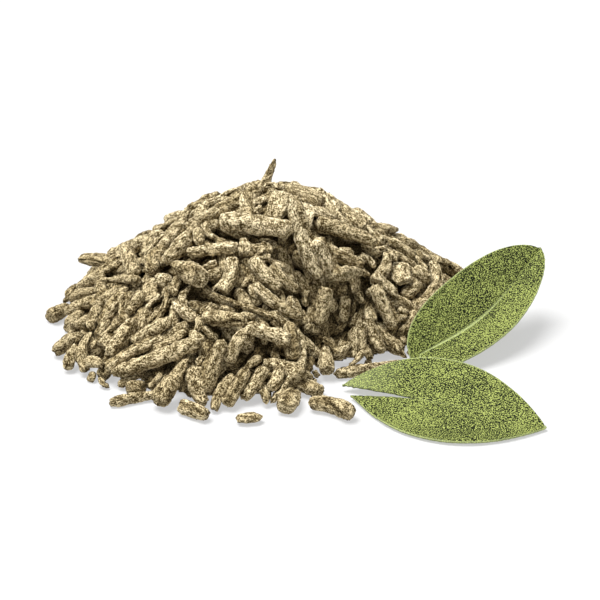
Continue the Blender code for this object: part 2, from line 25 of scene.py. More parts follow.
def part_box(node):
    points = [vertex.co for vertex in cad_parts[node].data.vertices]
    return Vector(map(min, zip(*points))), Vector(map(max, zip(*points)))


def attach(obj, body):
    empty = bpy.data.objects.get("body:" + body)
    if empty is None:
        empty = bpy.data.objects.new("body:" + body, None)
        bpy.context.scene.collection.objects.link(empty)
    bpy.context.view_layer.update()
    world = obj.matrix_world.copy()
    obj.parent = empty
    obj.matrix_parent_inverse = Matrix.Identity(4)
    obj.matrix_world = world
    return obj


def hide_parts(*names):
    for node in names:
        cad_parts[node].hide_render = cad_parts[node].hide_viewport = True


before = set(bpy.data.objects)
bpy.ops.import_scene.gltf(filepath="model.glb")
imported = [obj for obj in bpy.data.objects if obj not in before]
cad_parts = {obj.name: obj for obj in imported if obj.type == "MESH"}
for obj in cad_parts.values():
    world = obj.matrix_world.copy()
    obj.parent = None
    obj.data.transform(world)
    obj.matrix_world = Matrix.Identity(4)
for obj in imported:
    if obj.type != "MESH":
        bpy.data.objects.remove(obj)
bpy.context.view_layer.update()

bl_info = {
    "name": "Dried sage heap",
    "version": (1, 0, 0),
    "blender": (4, 5, 0),
    "location": "View3D > Sidebar > Sage",
    "description": "Grows a heap of cut dried sage with two fresh leaves",
    "category": "Object",
}

BODY = "root"
MM = 0.001
GAP = 0.3 * MM  # clear space kept between neighbouring pieces

# The heap as a whole
HEAP_HEIGHT = 40 * MM
CREST = 0.20  # how round the top is, as a share of the way out to the foot
RIM_SHARE = 0.95  # out to this share of the foot's distance the heap is at least RIM_DEPTH thick
RIM_DEPTH = 4 * MM
CORE_DEPTH = 9 * MM  # the scraps are laid one by one only in this outer layer
FOOT = (  # heading from +X in degrees, distance from the origin to the foot in mm
    (0, 71), (30, 65), (60, 60), (90, 58), (120, 59), (150, 65), (180, 64), (197, 63), (212, 71),
    (227, 69), (240, 67), (251, 68), (262, 64), (272, 62), (281, 59), (290, 45), (303, 47), (320, 52),
    (335, 58), (348, 68),
)

# Kinds of scrap: share of the heap, shortest and longest, thinnest and thickest (half widths) in mm,
# and the least and most thickness as a share of the width
Kind = namedtuple("Kind", "share short long thin thick flattest roundest")
KINDS = {
    "roll": Kind(0.50, 9.0, 15.5, 1.6, 2.5, 0.75, 1.0),
    "long_roll": Kind(0.26, 15.5, 24.0, 1.6, 2.4, 0.78, 1.0),
    "flake": Kind(0.08, 9.0, 13.0, 2.9, 4.0, 0.38, 0.46),
    "crumb": Kind(0.09, 4.5, 8.0, 1.5, 2.4, 0.80, 1.0),
    "stem": Kind(0.07, 12.0, 21.0, 0.9, 1.3, 1.0, 1.0),
}
MOST_BOW = 0.17  # sideways bend, as a share of the length
PROPPED = 0.3  # this share of the scraps rests on one end, tilted up between these angles
PROP_ANGLES = (math.radians(8), math.radians(28))
MOST_ON_KNOWN = 0.2  # how much of a scrap's length may cross a scrap with a known place
LEAF_CLEARANCE = 0.7 * MM
FLOOR_CLEARANCE = 0.2 * MM  # only the joined scraps stand on the ground
STEEPEST = math.radians(58)
SEED = 7

# Scraps with a known place: name, kind, x, y in mm, heading in degrees, length and width in mm,
# thickness as a share of the width, bow, and where it doesn't lie as it falls, height in mm and tilt
Known = namedtuple(
    "Known",
    "name kind x y heading length width flatness bow height tilt",
    defaults=(1.0, 0.0, None, None),
)
KNOWN = (
    Known("apex_spike", "stem", -1, 3, 20, 17, 3.4, 1.0, 0.00, 40.3, 66),
    Known("crest_flake", "flake", 2, -9, 69, 15, 7.4, 0.45),
    Known("crest_long_roll", "long_roll", -3, -18, -20, 22, 5.4, 1.0, 0.05),
    Known("front_slope_roll", "long_roll", 11, -21, -46, 25, 5.0, 1.0, -0.05),
    Known("left_slope_roll", "roll", -22, -28, -61, 19, 5.6, 1.0, 0.04),
    Known("left_shoulder_roll", "long_roll", -41, -6, -75, 20, 4.2, 1.0, 0.03),
    Known("left_edge_flake", "flake", -54, 18, -20, 12, 6.5, 0.50, 0.00, 9, 0),
    Known("left_foot_crumb", "crumb", -63, -5, 53, 9, 4.4),
    Known("right_shoulder_roll", "long_roll", 23, -9, -3, 19, 4.6, 1.0, 0.06),
    Known("right_slope_roll", "roll", 17, -24, -13, 14, 4.6),
    Known("right_slope_long_roll", "long_roll", 24, -24, 66, 18, 4.6, 1.0, 0.05),
    Known("right_foot_roll", "roll", 34, -24, -39, 15, 4.4),
    Known("right_low_roll", "roll", 16, -31, 59, 12, 4.4),
    Known("right_flat_roll", "long_roll", 29, -41, 18, 21, 3.4),
    Known("foot_crumb", "crumb", 17, -42, -85, 8, 4.2),
    Known("foot_upright_roll", "roll", 7, -45, -82, 11, 4.2),
    Known("front_arched_roll", "roll", -7, -50, 35, 12, 4.4, 1.0, 0.15),
    Known("front_short_roll", "roll", 2, -46, -27, 12, 4.2),
    Known("front_leaning_roll", "roll", -11, -44, -23, 14, 4.4),
    Known("front_foot_roll", "roll", -14, -55, 63, 15, 4.6, 1.0, 0.04),
    Known("front_thick_roll", "roll", -25, -57, 55, 16, 5.6, 0.9),
    Known("front_long_roll", "long_roll", -30, -49, -2, 27, 4.6, 1.0, -0.05),
    Known("front_thin_roll", "long_roll", -36, -58, 21, 14, 2.8, 1.0, 0.03),
    Known("loose_curved_roll", "roll", 18, -65, -30, 13, 4.6, 1.0, 0.14),
    Known("loose_lumpy_roll", "roll", 7, -61, 75, 11, 6.4, 0.8),
    Known("loose_flat_crumb", "crumb", -4, -69, 5, 7, 4.4, 0.6),
    Known("loose_pointed_roll", "roll", -19, -66, -35, 10, 4.2, 0.9),
    Known("leaf_prop_roll", "roll", 48, -50, 8, 13, 4.2, 1.0, 0.05),
    Known("leaf_prop_stem", "stem", 60, -59, -25, 16, 2.4, 1.0, 0.03),
)

# The height field on which the scraps are laid
CELL = 0.5 * MM
FIELD = 94 * MM  # it reaches this far out
SIDE = int(round(2 * FIELD / CELL)) + 1
STATIONS = np.linspace(-1.0, 1.0, 9)
TOUCH_LINES = (-0.7, 0.0, 0.7)  # across a scrap, where it may touch what is below it
OVER_SHARE = 0.6  # of its thickness, by which a scrap counts as standing out
LEAST_LOW = 12  # so few low cells need no more scraps
GIVE_UP = 2  # cells to each side that are given up where no scrap fits
PICKS = 10  # low cells of which the lowest is filled
DRAWS = 2  # scraps tried at a place
HEADINGS = 4  # ways to turn each of them

# The frame's solids, which decide the scraps that are nodes of their own
MOST_SEPARATE = 57
SOLID_SHARE = 0.92  # a solid's width against the room that its scrap takes up
FLAKE_WEIGHT = 0.5  # a flake counts for less when the separate scraps are picked
FOOT_SHARE = 0.72  # beyond this share a known scrap may lie on the ground
BED_LEAST = 1.0 * MM  # the joined scraps are at least this thick below a separate one

LEAF_THICKNESS = 1.0 * MM
STALK_WIDTH = 0.9 * MM  # to each side
OUTLINE_POWER = 0.62  # below 1 the outline is fuller towards both ends
DRAWN_POWER = 6  # how close to the end an outline is drawn out
LEAF_SAMPLES = (160, 60)  # rows and columns of points that hold the scraps down

# A scrap of dried leaf: its middle, the heading and tilt of its length, and its size
Scrap = namedtuple("Scrap", "name kind x y z heading tilt length width depth bow")

# A fresh leaf: the stem end and the tip of its blade, which way its face looks, the crest of its
# midrib and how far it sways to the right, how much its stem end and its tip are drawn out to a point,
# and for its left and right half (seen from the stem end) the width, the slope against the leaf's face,
# how far its widest place is moved along the leaf, how far its stem end is split open and the share of
# the leaf at which that end starts
Half = namedtuple("Half", "width slope skew opening start")
Leaf = namedtuple("Leaf", "name stem tip face crest sway horned pointed left right split stalk")

LEAVES = (
    Leaf(
        name="leaning_leaf",
        stem=Vector((43.5, -42.5, 1.6)) * MM,
        tip=Vector((81.6, 1.0, 20.6)) * MM,
        face=Vector((0.15, -0.55, 0.82)),
        crest=-1.0 * MM,
        sway=1.4 * MM,
        horned=0.0,
        pointed=0.0,
        left=Half(14.4 * MM, math.radians(10), 0.80, 0.0, 0.0),
        right=Half(10.8 * MM, math.radians(28), 0.97, 0.0, 0.0),
        split=0.0,
        stalk=0.10,
    ),
    Leaf(
        name="lying_leaf",
        stem=Vector((20.3, -52.5, 1.6)) * MM,
        tip=Vector((74.5, -73.3, 0.9)) * MM,
        face=Vector((0.0, 0.0, 1.0)),
        crest=1.6 * MM,
        sway=0.0,
        horned=0.5,
        pointed=0.48,
        left=Half(16.4 * MM, math.radians(20), 0.9, 1.5 * MM, 0.0),
        right=Half(17.4 * MM, math.radians(-8), 1.15, 2.4 * MM, 0.04),
        split=0.40,
        stalk=0.0,
    ),
)

# How the scraps are grown
LINE_POINTS = 11
MOST_SHIFT = 3.0 * MM  # between a scrap's place and the middle of its node's box
LIP_STEP = 0.34  # how far the rolled edge stands out, as a share of the half width
SEAM_SHARE = 0.11  # of the way round, on each side of the seam
SEAM_SHADE = 0.5  # painted shade in the seam's groove: how much darker the seam is
POINTED_SHARE = 0.12  # of the scraps that are no stems
HOLLOW_SHARE = 0.3  # of the scraps
CRUMB_CURL = 0.3  # a crumb is less rolled up than other scraps
MOST_CUP = 0.3  # how much a flake is cupped, up or down
END_SHARE = 0.12  # of the half length, which is torn and hollowed
BLUNT_END = (0.30, 0.30, 0.38)  # how much it narrows gently, late and at the very end
POINTED_END = (1.02, 1.25)  # the share of the length where a point would close, and its fullness
LEAST_SQUARE = 0.0004
LEAST_GIRTH = 0.5 * MM
SWELL_SCALE = 160.0  # how often a scrap swells along its length
SWELL_LEAST = 0.82
SWELL_MOST = 0.42  # above the least
WANDER_SCALE = 90.0  # how often the rolled edge wanders round
WRINKLE_SCALE = 1000.0
LUMP_SCALE = 300.0
KNOB_SCALE = 760.0
GRAIN_SCALE = 1700.0
STRETCH = 0.4  # how far the fibres are stretched along the roll, the less the longer
TEAR_SCALE = 700.0
TINTS = (0.82, 1.14)  # the darkest and the palest scrap against the middle one
FIBRE_SCALE = 1.35  # fibres against specks
DRIED_TONE = (0.5, 0.4, 0.5, -0.2)  # the shares of specks, fibres and relief, and a shift; the relief's share paints light on ridges and shade in hollows
RELIEF_SHARES = (0.45, 0.35, 0.35)  # of wrinkles, grain and knobs
WARMTH = (1.1, 1.35)  # how much faster green and blue fade in the shade than red
DRIED_STOPS = (0.38, 0.57, 0.43, 0.49)  # where the painted shade of creases, pale specks, pits and plain leaf are pure
SHADE_DEPTH = 7.0 * MM  # painted shade: a scrap this far below the heap's top is darkest
LOW_SHADE = 0.35  # painted shade at the heap's foot: how deep a scrap on the ground counts as lying
LOW_HEIGHT = 28.0 * MM  # scraps above this count as lying on top, with no painted foot shade
GROUP_LENGTH = 0.9  # of scraps, in metres, in one group
HIDDEN_LENGTH = 4.0  # the same, for scraps that hardly show
LEAST_SEEN = 4 * MM * MM  # a scrap that shows less is made more simply
FLOOR_GAP = 0.05 * MM  # what dips to the floor is kept this far above it
BIT = Kind(1.0, 3.0, 6.5, 0.8, 1.35, 0.8, 1.0)  # for the gaps between the scraps
GAP_ROOM = 1.4 * MM  # a gap deeper than this is filled
GAP_OVER = 2.2 * MM  # no bit stands out farther than this

# The mound of crumbs below the scraps
CORE_REACH = 80 * MM
CORE_STEP = 1.0 * MM
CORE_BELOW = 5.0 * MM  # the heap's top
CORE_SHRINK = 1.06  # its foot is drawn in by this
CORE_DARKEST = 10.0 * MM  # painted shade: the mound is darkest above this height
# the least painted shade on the mound, at its rim
CORE_PALEST = 0.4
CORE_LUMPS = 300.0  # lumps to a metre
CORE_ROUGH = 1.2 * MM

# The leaves' skin
SKIN_ROWS = 200
SKIN_COLUMNS = 44
MERGE = 0.005 * MM
RIB_SHARE = 0.05  # of the half width
RIB_START = 0.08  # from this share of the leaf on the midrib is bent in full
RIB_END = 0.78  # the midrib fades out towards this share of the leaf
RIB_FADE = 2.5
RIB_PALE = 0.7
RIB_BENDS = (5.0 * MM, 0.9 * MM)  # to the left at the stem end, and to the right at the middle
EDGE_FROM = 0.965  # the pale edge starts at this share of the half width
EDGE_WIDTH = 0.03
VEIN_SLANT = 1.6  # how far a side vein runs towards the tip
VEIN_SHARPNESS = 8.0
LEAF_TONE = (0.75, -0.2, 0.15, 0.13)  # the shares of specks, cells and patches, and a shift
SPECK_SCALE = 0.9  # specks against pebbles
PATCH_SCALE = 90.0
WAVE_SCALE = 70.0
RAISED_SCALE = 1100.0  # raised pebbles to a metre of skin
LEAF_STOPS = (0.44, 0.55, 0.49)  # where gaps, pebble tops and plain skin have their pure colours
UNDER_STOPS = (0.36, 0.58, 0.46)
HORN_SHARE = 0.30  # a split leaf is paler in this share of its length
PALE_HORN = 0.6

# The stage
FLOOR_REACH = 3.0
BACKDROP_SIDES = 64
BACKDROP_RADIUS = 2.9
BACKDROP_HEIGHT = 0.6
KEY_PLACE = Vector((-0.22, 0.05, 0.75))
FILL_PLACE = Vector((0.6, -0.5, 0.4))
VIEW_MIDDLE = Vector((9.6, -5.8, 6.8)) * MM


def foot_distance(heading):
    """How far the foot of the heap is from the origin, for an array of headings in radians."""
    headings, distances = zip(*FOOT)
    return np.interp(np.degrees(heading) % 360.0, headings, distances, period=360) * MM


def heap_top(x, y):
    """The height that the heap reaches at each place."""
    share = np.hypot(x, y) / foot_distance(np.arctan2(y, x))
    end = math.hypot(1.0, CREST)
    cone = HEAP_HEIGHT * (end - np.hypot(share, CREST)) / (end - CREST)
    return np.where(share < RIM_SHARE, np.maximum(cone, RIM_DEPTH), np.maximum(cone, 0.0))


def taper(t):
    """A scrap's thickness along its length, t from -1 to 1, against the thickness at its middle."""
    return np.sqrt(np.maximum(1.0 - 0.35 * t**2 - 0.45 * t**8, 0.05))


def centre_line(scrap, t):
    """Points on the line through the middle of a scrap."""
    along = t * scrap.length / 2 * math.cos(scrap.tilt)
    aside = scrap.bow * scrap.length * (0.5 - t * t)
    c, s = math.cos(scrap.heading), math.sin(scrap.heading)
    return np.stack(
        [
            scrap.x + along * c - aside * s,
            scrap.y + along * s + aside * c,
            scrap.z + t * scrap.length / 2 * math.sin(scrap.tilt),
        ],
        -1,
    )


def half_shape(leaf, half, share):
    """A leaf half's width at a share of the blade's length, against its greatest width."""
    moved = min(max(share, 0.0), 1.0) ** half.skew
    horned = 1.0 - leaf.horned * (1.0 - moved) ** DRAWN_POWER
    pointed = 1.0 - leaf.pointed * moved**DRAWN_POWER
    return (4.0 * moved * (1.0 - moved)) ** OUTLINE_POWER * (horned * pointed)


class Field:
    """The height of the heap so far, and what still has to be filled."""

    def __init__(self):
        line = np.linspace(-FIELD, FIELD, SIDE)
        self.x, self.y = np.meshgrid(line, line, indexing="ij")
        self.target = heap_top(self.x, self.y)
        self.top = np.maximum(self.target - CORE_DEPTH, FLOOR_CLEARANCE)
        self.ceiling = np.full_like(self.top, 1.0)
        self.owner = np.full(self.top.shape, -1)
        self.kept = np.zeros(self.top.shape, bool)

    def cell(self, value):
        return np.clip(np.rint((np.asarray(value) + FIELD) / CELL).astype(int), 0, SIDE - 1)

    def put_leaf(self, points):
        """Keeps the scraps below a leaf, and lets them rise to carry it where it is close."""
        ix, iy = self.cell(points[:, 0]), self.cell(points[:, 1])
        np.minimum.at(self.ceiling, (ix, iy), points[:, 2] - LEAF_THICKNESS - GAP)

    def fill_under_leaves(self, most_rise):
        covered = (self.ceiling < 0.5) & (self.target > 0)
        risen = np.maximum(np.minimum(self.ceiling, self.target + most_rise), 0.0)
        self.target = np.where(covered, risen, self.target)

    def below_leaves(self, scrap):
        """True where no part of a scrap comes near a leaf."""
        points = centre_line(scrap, STATIONS)
        c, s = math.cos(scrap.heading), math.sin(scrap.heading)
        top = points[:, 2] + scrap.depth + LEAF_CLEARANCE
        for aside in (-1.0, 0.0, 1.0):
            ix = self.cell(points[:, 0] - s * aside * scrap.width)
            iy = self.cell(points[:, 1] + c * aside * scrap.width)
            if (top - abs(aside) * scrap.depth / 2 > self.ceiling[ix, iy]).any():
                return False
        return True

    def rest(self, scrap, lift):
        """The height and tilt at which a scrap comes to rest, one end propped up by lift."""
        points = centre_line(scrap._replace(z=0.0, tilt=0.0), STATIONS)
        reach = taper(STATIONS)
        c, s = math.cos(scrap.heading), math.sin(scrap.heading)
        need = np.full(len(STATIONS), -1.0)
        for aside in TOUCH_LINES:
            ix = self.cell(points[:, 0] - s * aside * reach * scrap.width)
            iy = self.cell(points[:, 1] + c * aside * reach * scrap.width)
            rise = scrap.depth * reach * math.sqrt(1 - aside * aside)
            need = np.maximum(need, self.top[ix, iy] + rise)
        run = STATIONS * scrap.length / 2
        middle = len(STATIONS) // 2
        left, right = np.arange(middle), np.arange(middle + 1, len(STATIONS))
        i, j = np.meshgrid(left, right, indexing="ij")
        held = (need[i] * run[j] - need[j] * run[i]) / (run[j] - run[i])
        best = np.unravel_index(np.argmax(held), held.shape)
        if held[best] >= need[middle]:
            low, high = i[best], j[best]
            height = held[best]
            slope = (need[high] - need[low]) / (run[high] - run[low])
        else:
            low, high = 0, len(STATIONS) - 1
            height = need[middle]
            rightwards = ((need[right] - height) / run[right]).max()
            leftwards = ((need[left] - height) / run[left]).min()
            slope = rightwards if abs(rightwards) < abs(leftwards) else leftwards
        if lift > 0:
            pivot = low if slope >= 0 else high
            slope = math.tan(math.atan(slope) + math.copysign(lift, slope))
            height = need[pivot] - slope * run[pivot]
        return height, math.atan(slope)

    def stamp(self, scrap, index, keep=False):
        """Adds a scrap to the heap."""
        count = max(5, int(scrap.length / CELL))
        t = np.linspace(-1.0, 1.0, count)
        reach = int(math.ceil(scrap.width / CELL)) + 1
        for (x, y, z), share in zip(centre_line(scrap, t), taper(t)):
            i, j = self.cell(x), self.cell(y)
            part = tuple(slice(max(k - reach, 0), k + reach + 1) for k in (i, j))
            away = ((self.x[part] - x) ** 2 + (self.y[part] - y) ** 2) / (scrap.width * share) ** 2
            rise = scrap.depth * share * np.sqrt(np.maximum(1 - away, 0))
            height = np.where(away < 1, z + rise, -1.0)
            higher = height > self.top[part]
            self.top[part][higher] = height[higher]
            self.owner[part][higher] = index
            if keep:
                self.kept[part] |= away < 1


def draw_scrap(rng, kinds):
    """A scrap of random size, not yet placed."""
    name = rng.choices(kinds, [KINDS[kind].share for kind in kinds])[0]
    kind = KINDS[name]
    width = rng.uniform(kind.thin, kind.thick) * MM
    length = rng.uniform(kind.short, kind.long) * MM
    depth = width * rng.uniform(kind.flattest, kind.roundest)
    bow = rng.uniform(-MOST_BOW, MOST_BOW)
    return Scrap("", name, 0.0, 0.0, 0.0, 0.0, 0.0, length, width, depth, bow)


def settle(field, scrap, lift):
    """The scrap where it comes to rest, rounded so that tiny differences don't add up."""
    height, tilt = field.rest(scrap, lift)
    return scrap._replace(z=round(float(height), 5), tilt=round(float(tilt), 3))


def find_rest(field, rng, scrap, x, y, below, propped, most_over):
    """The best of a few headings for a scrap at a place, or None where none is any good."""
    best = None
    for _ in range(HEADINGS):
        heading = round(rng.uniform(0, math.pi), 3)
        prop = rng.random() < propped and scrap.kind not in ("crumb", "flake")
        lift = rng.uniform(*PROP_ANGLES) if prop else 0.0
        tried = settle(field, scrap._replace(x=round(x, 5), y=round(y, 5), heading=heading), lift)
        if abs(tried.tilt) > STEEPEST or not field.below_leaves(tried):
            continue
        points = centre_line(tried, STATIONS)
        where = field.cell(points[:, 0]), field.cell(points[:, 1])
        if field.kept[where].mean() > MOST_ON_KNOWN:
            continue
        over = (points[:, 2] + tried.depth * OVER_SHARE - field.target[where] + below).max()
        if over <= most_over and (best is None or over < best[0]):
            best = (over, tried)
    return best and best[1]


def fill(field, scraps, rng, kinds, below, stop, most_over, propped=PROPPED):
    """Drops scraps where the heap is lowest, until it is within stop of its height less below."""
    given_up = field.kept.copy()
    while True:
        room = np.where(given_up, -1.0, field.target - below - field.top)
        low = np.flatnonzero(room > stop)
        if len(low) < LEAST_LOW:
            break
        picked = [low[rng.randrange(len(low))] for _ in range(PICKS)]
        cell = max(picked, key=lambda c: room.flat[c])
        x, y = float(field.x.flat[cell]), float(field.y.flat[cell])
        for _ in range(DRAWS):
            found = find_rest(field, rng, draw_scrap(rng, kinds), x, y, below, propped, most_over)
            if found:
                scraps.append(found)
                field.stamp(found, len(scraps) - 1)
                break
        else:
            i, j = field.cell(x), field.cell(y)
            given_up[i - GIVE_UP:i + GIVE_UP + 1, j - GIVE_UP:j + GIVE_UP + 1] = True


def lay_known(field, scraps):
    """Lays the scraps with a known place."""
    for k in KNOWN:
        width = k.width / 2 * MM
        scrap = Scrap(
            k.name, k.kind, k.x * MM, k.y * MM, 0.0, math.radians(k.heading), 0.0,
            k.length * MM, width, width * k.flatness, k.bow,
        )
        if k.height is None:
            scrap = settle(field, scrap, 0.0)
        else:
            scrap = scrap._replace(z=k.height * MM, tilt=math.radians(k.tilt))
        scraps.append(scrap)
        field.stamp(scrap, len(scraps) - 1, keep=True)


def lay_heap(leaf_points):
    """Every scrap of the heap's outer layer, and the height field that they make."""
    field, rng, scraps = Field(), random.Random(SEED), []
    for points in leaf_points:
        field.put_leaf(points)
    field.fill_under_leaves(most_rise=7 * MM)
    every = tuple(KINDS)
    fill(field, scraps, rng, every, below=6.5 * MM, stop=0.8 * MM, most_over=3.0 * MM)
    fill(field, scraps, rng, every, below=3.8 * MM, stop=1.0 * MM, most_over=3.5 * MM)
    lay_known(field, scraps)
    fill(field, scraps, rng, every, below=0.0, stop=1.8 * MM, most_over=3.5 * MM)
    fill(field, scraps, rng, ("crumb", "roll"), below=0.0, stop=2.0 * MM, most_over=2.5 * MM)
    fill(field, scraps, rng, ("crumb",), below=0.0, stop=2.6 * MM, most_over=1.5 * MM, propped=0.0)
    return field, scraps


def leaf_point(leaf, share, across, left):
    """A point on a leaf's face: share along the blade, across its left or right half from 0 to 1."""
    axis = leaf.tip - leaf.stem
    up = (leaf.face - leaf.face.project(axis)).normalized()
    half = leaf.left if left else leaf.right
    aside = up.cross(axis).normalized() * (1 if left else -1)
    parted = max(0.0, 1.0 - share / leaf.split) if leaf.split else 0.0
    inner = half.opening * parted
    if share < 0:
        reach = STALK_WIDTH * across
    else:
        stalk = STALK_WIDTH * max(0.0, 1.0 - share / leaf.stalk) if leaf.stalk else 0.0
        outer = max(half.width * half_shape(leaf, half, share), inner, stalk)
        reach = inner + (outer - inner) * across
    middle = leaf.stem + axis * (share + half.start * parted)
    middle = middle + up * leaf.crest * 4.0 * max(share, 0.0) * (1.0 - share)
    swayed = leaf.sway * math.sin(math.pi * max(share, 0.0)) ** 2
    middle = middle - up.cross(axis).normalized() * swayed
    point = middle + aside * reach * math.cos(half.slope) + up * reach * math.sin(half.slope)
    point.z = max(point.z, LEAF_THICKNESS + FLOOR_CLEARANCE + FLOOR_GAP)
    return point


def leaf_shares(leaf, rows):
    """How far along the blade each row of points is, closer together towards both ends."""
    start = -leaf.stalk
    eased = [0.5 - 0.5 * math.cos(math.pi * i / rows) for i in range(rows + 1)]
    return [start + (1.0 - start) * share for share in eased]


def leaf_faces(leaf, rows, columns):
    """Both halves of a leaf as grids of points, from the stem end to the tip."""
    return [
        [
            [leaf_point(leaf, share, column / columns, left) for column in range(columns + 1)]
            for share in leaf_shares(leaf, rows)
        ]
        for left in (True, False)
    ]


def separate_scraps(field, scraps):
    """The scraps that show most and stand clear of each other, which become solids of their own."""
    shown = shown_area(field, scraps)
    order = sorted(range(len(scraps)), key=lambda i: (not scraps[i].name, -shown[i]))
    chosen = []
    for i in order:
        scrap = scraps[i]
        beside = bool(scrap.name) and foot_share(scrap) > FOOT_SHARE
        if len(chosen) < MOST_SEPARATE and (beside or stands_above(scrap)):
            if all(clear_of(scrap, scraps[j], GAP) for j in chosen):
                chosen.append(i)
    return chosen


def shown_area(field, scraps):
    """The area of each scrap that is seen from above, with less weight for a flake."""
    cells = np.bincount(field.owner[field.owner >= 0], minlength=len(scraps))
    weights = np.array([FLAKE_WEIGHT if scrap.kind == "flake" else 1.0 for scrap in scraps])
    return cells * CELL * CELL * weights


def foot_share(scrap):
    """How far out a scrap lies, against the foot of the heap."""
    return math.hypot(scrap.x, scrap.y) / float(foot_distance(math.atan2(scrap.y, scrap.x)))


def stands_above(scrap):
    """True for a scrap that leaves room for the bed below it."""
    points = centre_line(scrap, STATIONS)
    return bool((points[:, 2] - scrap.depth * SOLID_SHARE - GAP > BED_LEAST).all())


def clear_of(one, other, gap):
    """True where two scraps' solids are at least a gap apart."""
    t = np.linspace(-1.0, 1.0, 13)
    apart = np.linalg.norm(centre_line(one, t)[:, None] - centre_line(other, t)[None], axis=-1)
    radii = SOLID_SHARE * (one.width * taper(t)[:, None] + other.width * taper(t)[None])
    return bool((apart > radii + gap).all())


@lru_cache(maxsize=1)
def laid_heap():
    """The laid scraps, the names of those that are nodes of their own, and how much each one shows."""
    leaf_points = []
    for leaf in LEAVES:
        grids = leaf_faces(leaf, *LEAF_SAMPLES)
        leaf_points.append(np.array([point for grid in grids for row in grid for point in row]))
    field, scraps = lay_heap(leaf_points)
    names, counts = {}, {}
    for i in separate_scraps(field, scraps):
        kind = scraps[i].kind
        counts[kind] = counts.get(kind, 0) + (not scraps[i].name)
        names[i] = scraps[i].name or f"{kind}_{counts[kind]:02d}"
    for i, name in names.items():
        low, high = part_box(name)
        middle = (Vector(low) + Vector(high)) / 2
        place = Vector((scraps[i].x, scraps[i].y, scraps[i].z))
        if (middle - place).length > MOST_SHIFT:
            raise RuntimeError(f"{name} lies {(middle - place).length * 1000:.1f} mm from its node")
    fill_gaps(field, scraps)
    return scraps, names, shown_area(field, scraps)


def fill_gaps(field, scraps):
    """Small bits in the gaps that are left between the scraps."""
    KINDS["bit"] = BIT
    field.kept[:] = False
    fill(field, scraps, random.Random(SEED), ("bit",), below=0.0, stop=GAP_ROOM, most_over=GAP_OVER)


class Value:
    """A socket's output. Each operator on it adds a Math node."""

    def __init__(self, nodes, socket):
        self.nodes, self.socket = nodes, socket

    def __add__(self, other):
        return self.nodes.math("ADD", self, other)

    def __sub__(self, other):
        return self.nodes.math("SUBTRACT", self, other)

    def __rsub__(self, other):
        return self.nodes.math("SUBTRACT", other, self)

    def __mul__(self, other):
        return self.nodes.math("MULTIPLY", self, other)

    def __truediv__(self, other):
        return self.nodes.math("DIVIDE", self, other)

    def __rtruediv__(self, other):
        return self.nodes.math("DIVIDE", other, self)

    __radd__, __rmul__ = __add__, __mul__


class Nodes:
    """Adds nodes to a tree, of materials or of geometry."""

    def __init__(self, tree):
        self.tree = tree

    def add(self, kind, settings=None, sockets=None, output=0):
        """Adds a node with its settings and its sockets' values or links. Returns one output."""
        node = self.tree.nodes.new(kind)
        for key, value in (settings or {}).items():
            if key == "stops":
                self.set_stops(node.color_ramp.elements, value)
            else:
                setattr(node, key, value)
        for key, value in (sockets or {}).items():
            self.put(self.pick(node.inputs, key), value)
        return Value(self, self.pick(node.outputs, output))

    def pick(self, sockets, key):
        if isinstance(key, int):
            return [socket for socket in sockets if socket.enabled][key]
        return next(socket for socket in sockets if socket.enabled and socket.name == key)

    def put(self, socket, value):
        if isinstance(value, Value):
            self.tree.links.new(value.socket, socket)
        else:
            socket.default_value = value

    def math(self, operation, *values, clamp=False):
        settings = {"operation": operation, "use_clamp": clamp}
        return self.add("ShaderNodeMath", settings, dict(enumerate(values)))

    def root(self, value):
        """A square root that never reaches zero."""
        return self.math("SQRT", self.math("MAXIMUM", value, LEAST_SQUARE))

    def vector(self, operation, *values, scale=None):
        sockets = dict(enumerate(values))
        if scale is not None:
            sockets["Scale"] = scale
        return self.add("ShaderNodeVectorMath", {"operation": operation}, sockets)

    def xyz(self, *values):
        return self.add("ShaderNodeCombineXYZ", sockets=dict(enumerate(values)))

    def parts(self, vector):
        node = self.add("ShaderNodeSeparateXYZ", None, {"Vector": vector}).socket.node
        return [Value(self, socket) for socket in node.outputs]

    def mix(self, kind, factor, first, second, blend="MIX"):
        settings, sockets = {"data_type": kind}, {"Factor": factor, "A": first, "B": second}
        if kind == "RGBA":
            settings["blend_type"] = blend
        return self.add("ShaderNodeMix", settings, sockets, "Result")

    def noise(self, place, scale, detail=2.0, roughness=0.5):
        sockets = {"Vector": place, "Scale": scale, "Detail": detail, "Roughness": roughness}
        return self.add("ShaderNodeTexNoise", sockets=sockets)

    def cells(self, place, scale):
        """The distance to the middle of the nearest of many cells."""
        sockets = {"Vector": place, "Scale": scale}
        return self.add("ShaderNodeTexVoronoi", {"feature": "F1"}, sockets, "Distance")

    def ramp(self, value, stops):
        """A colour that follows a value, from a list of places and colours."""
        return self.add("ShaderNodeValToRGB", {"stops": stops}, {"Fac": value}, "Color")

    def set_stops(self, elements, stops):
        for (place, colour), element in zip(stops, list(elements)):
            element.position, element.color = place, (*colour, 1.0)
        for place, colour in stops[2:]:
            elements.new(place).color = (*colour, 1.0)

    def attribute(self, name, kind="FLOAT"):
        """In a geometry tree, a named attribute."""
        settings, sockets = {"data_type": kind}, {"Name": name}
        return self.add("GeometryNodeInputNamedAttribute", settings, sockets, "Attribute")

    def surface(self, name, output="Fac"):
        """In a material, an attribute of the surface."""
        return self.add("ShaderNodeAttribute", {"attribute_name": name}, None, output)

    def store(self, geometry, name, value, kind="FLOAT"):
        settings, sockets = {"data_type": kind}, {"Geometry": geometry, "Name": name, "Value": value}
        return self.add("GeometryNodeStoreNamedAttribute", settings, sockets)

    def move(self, geometry, offset):
        return self.add("GeometryNodeSetPosition", None, {"Geometry": geometry, "Offset": offset})


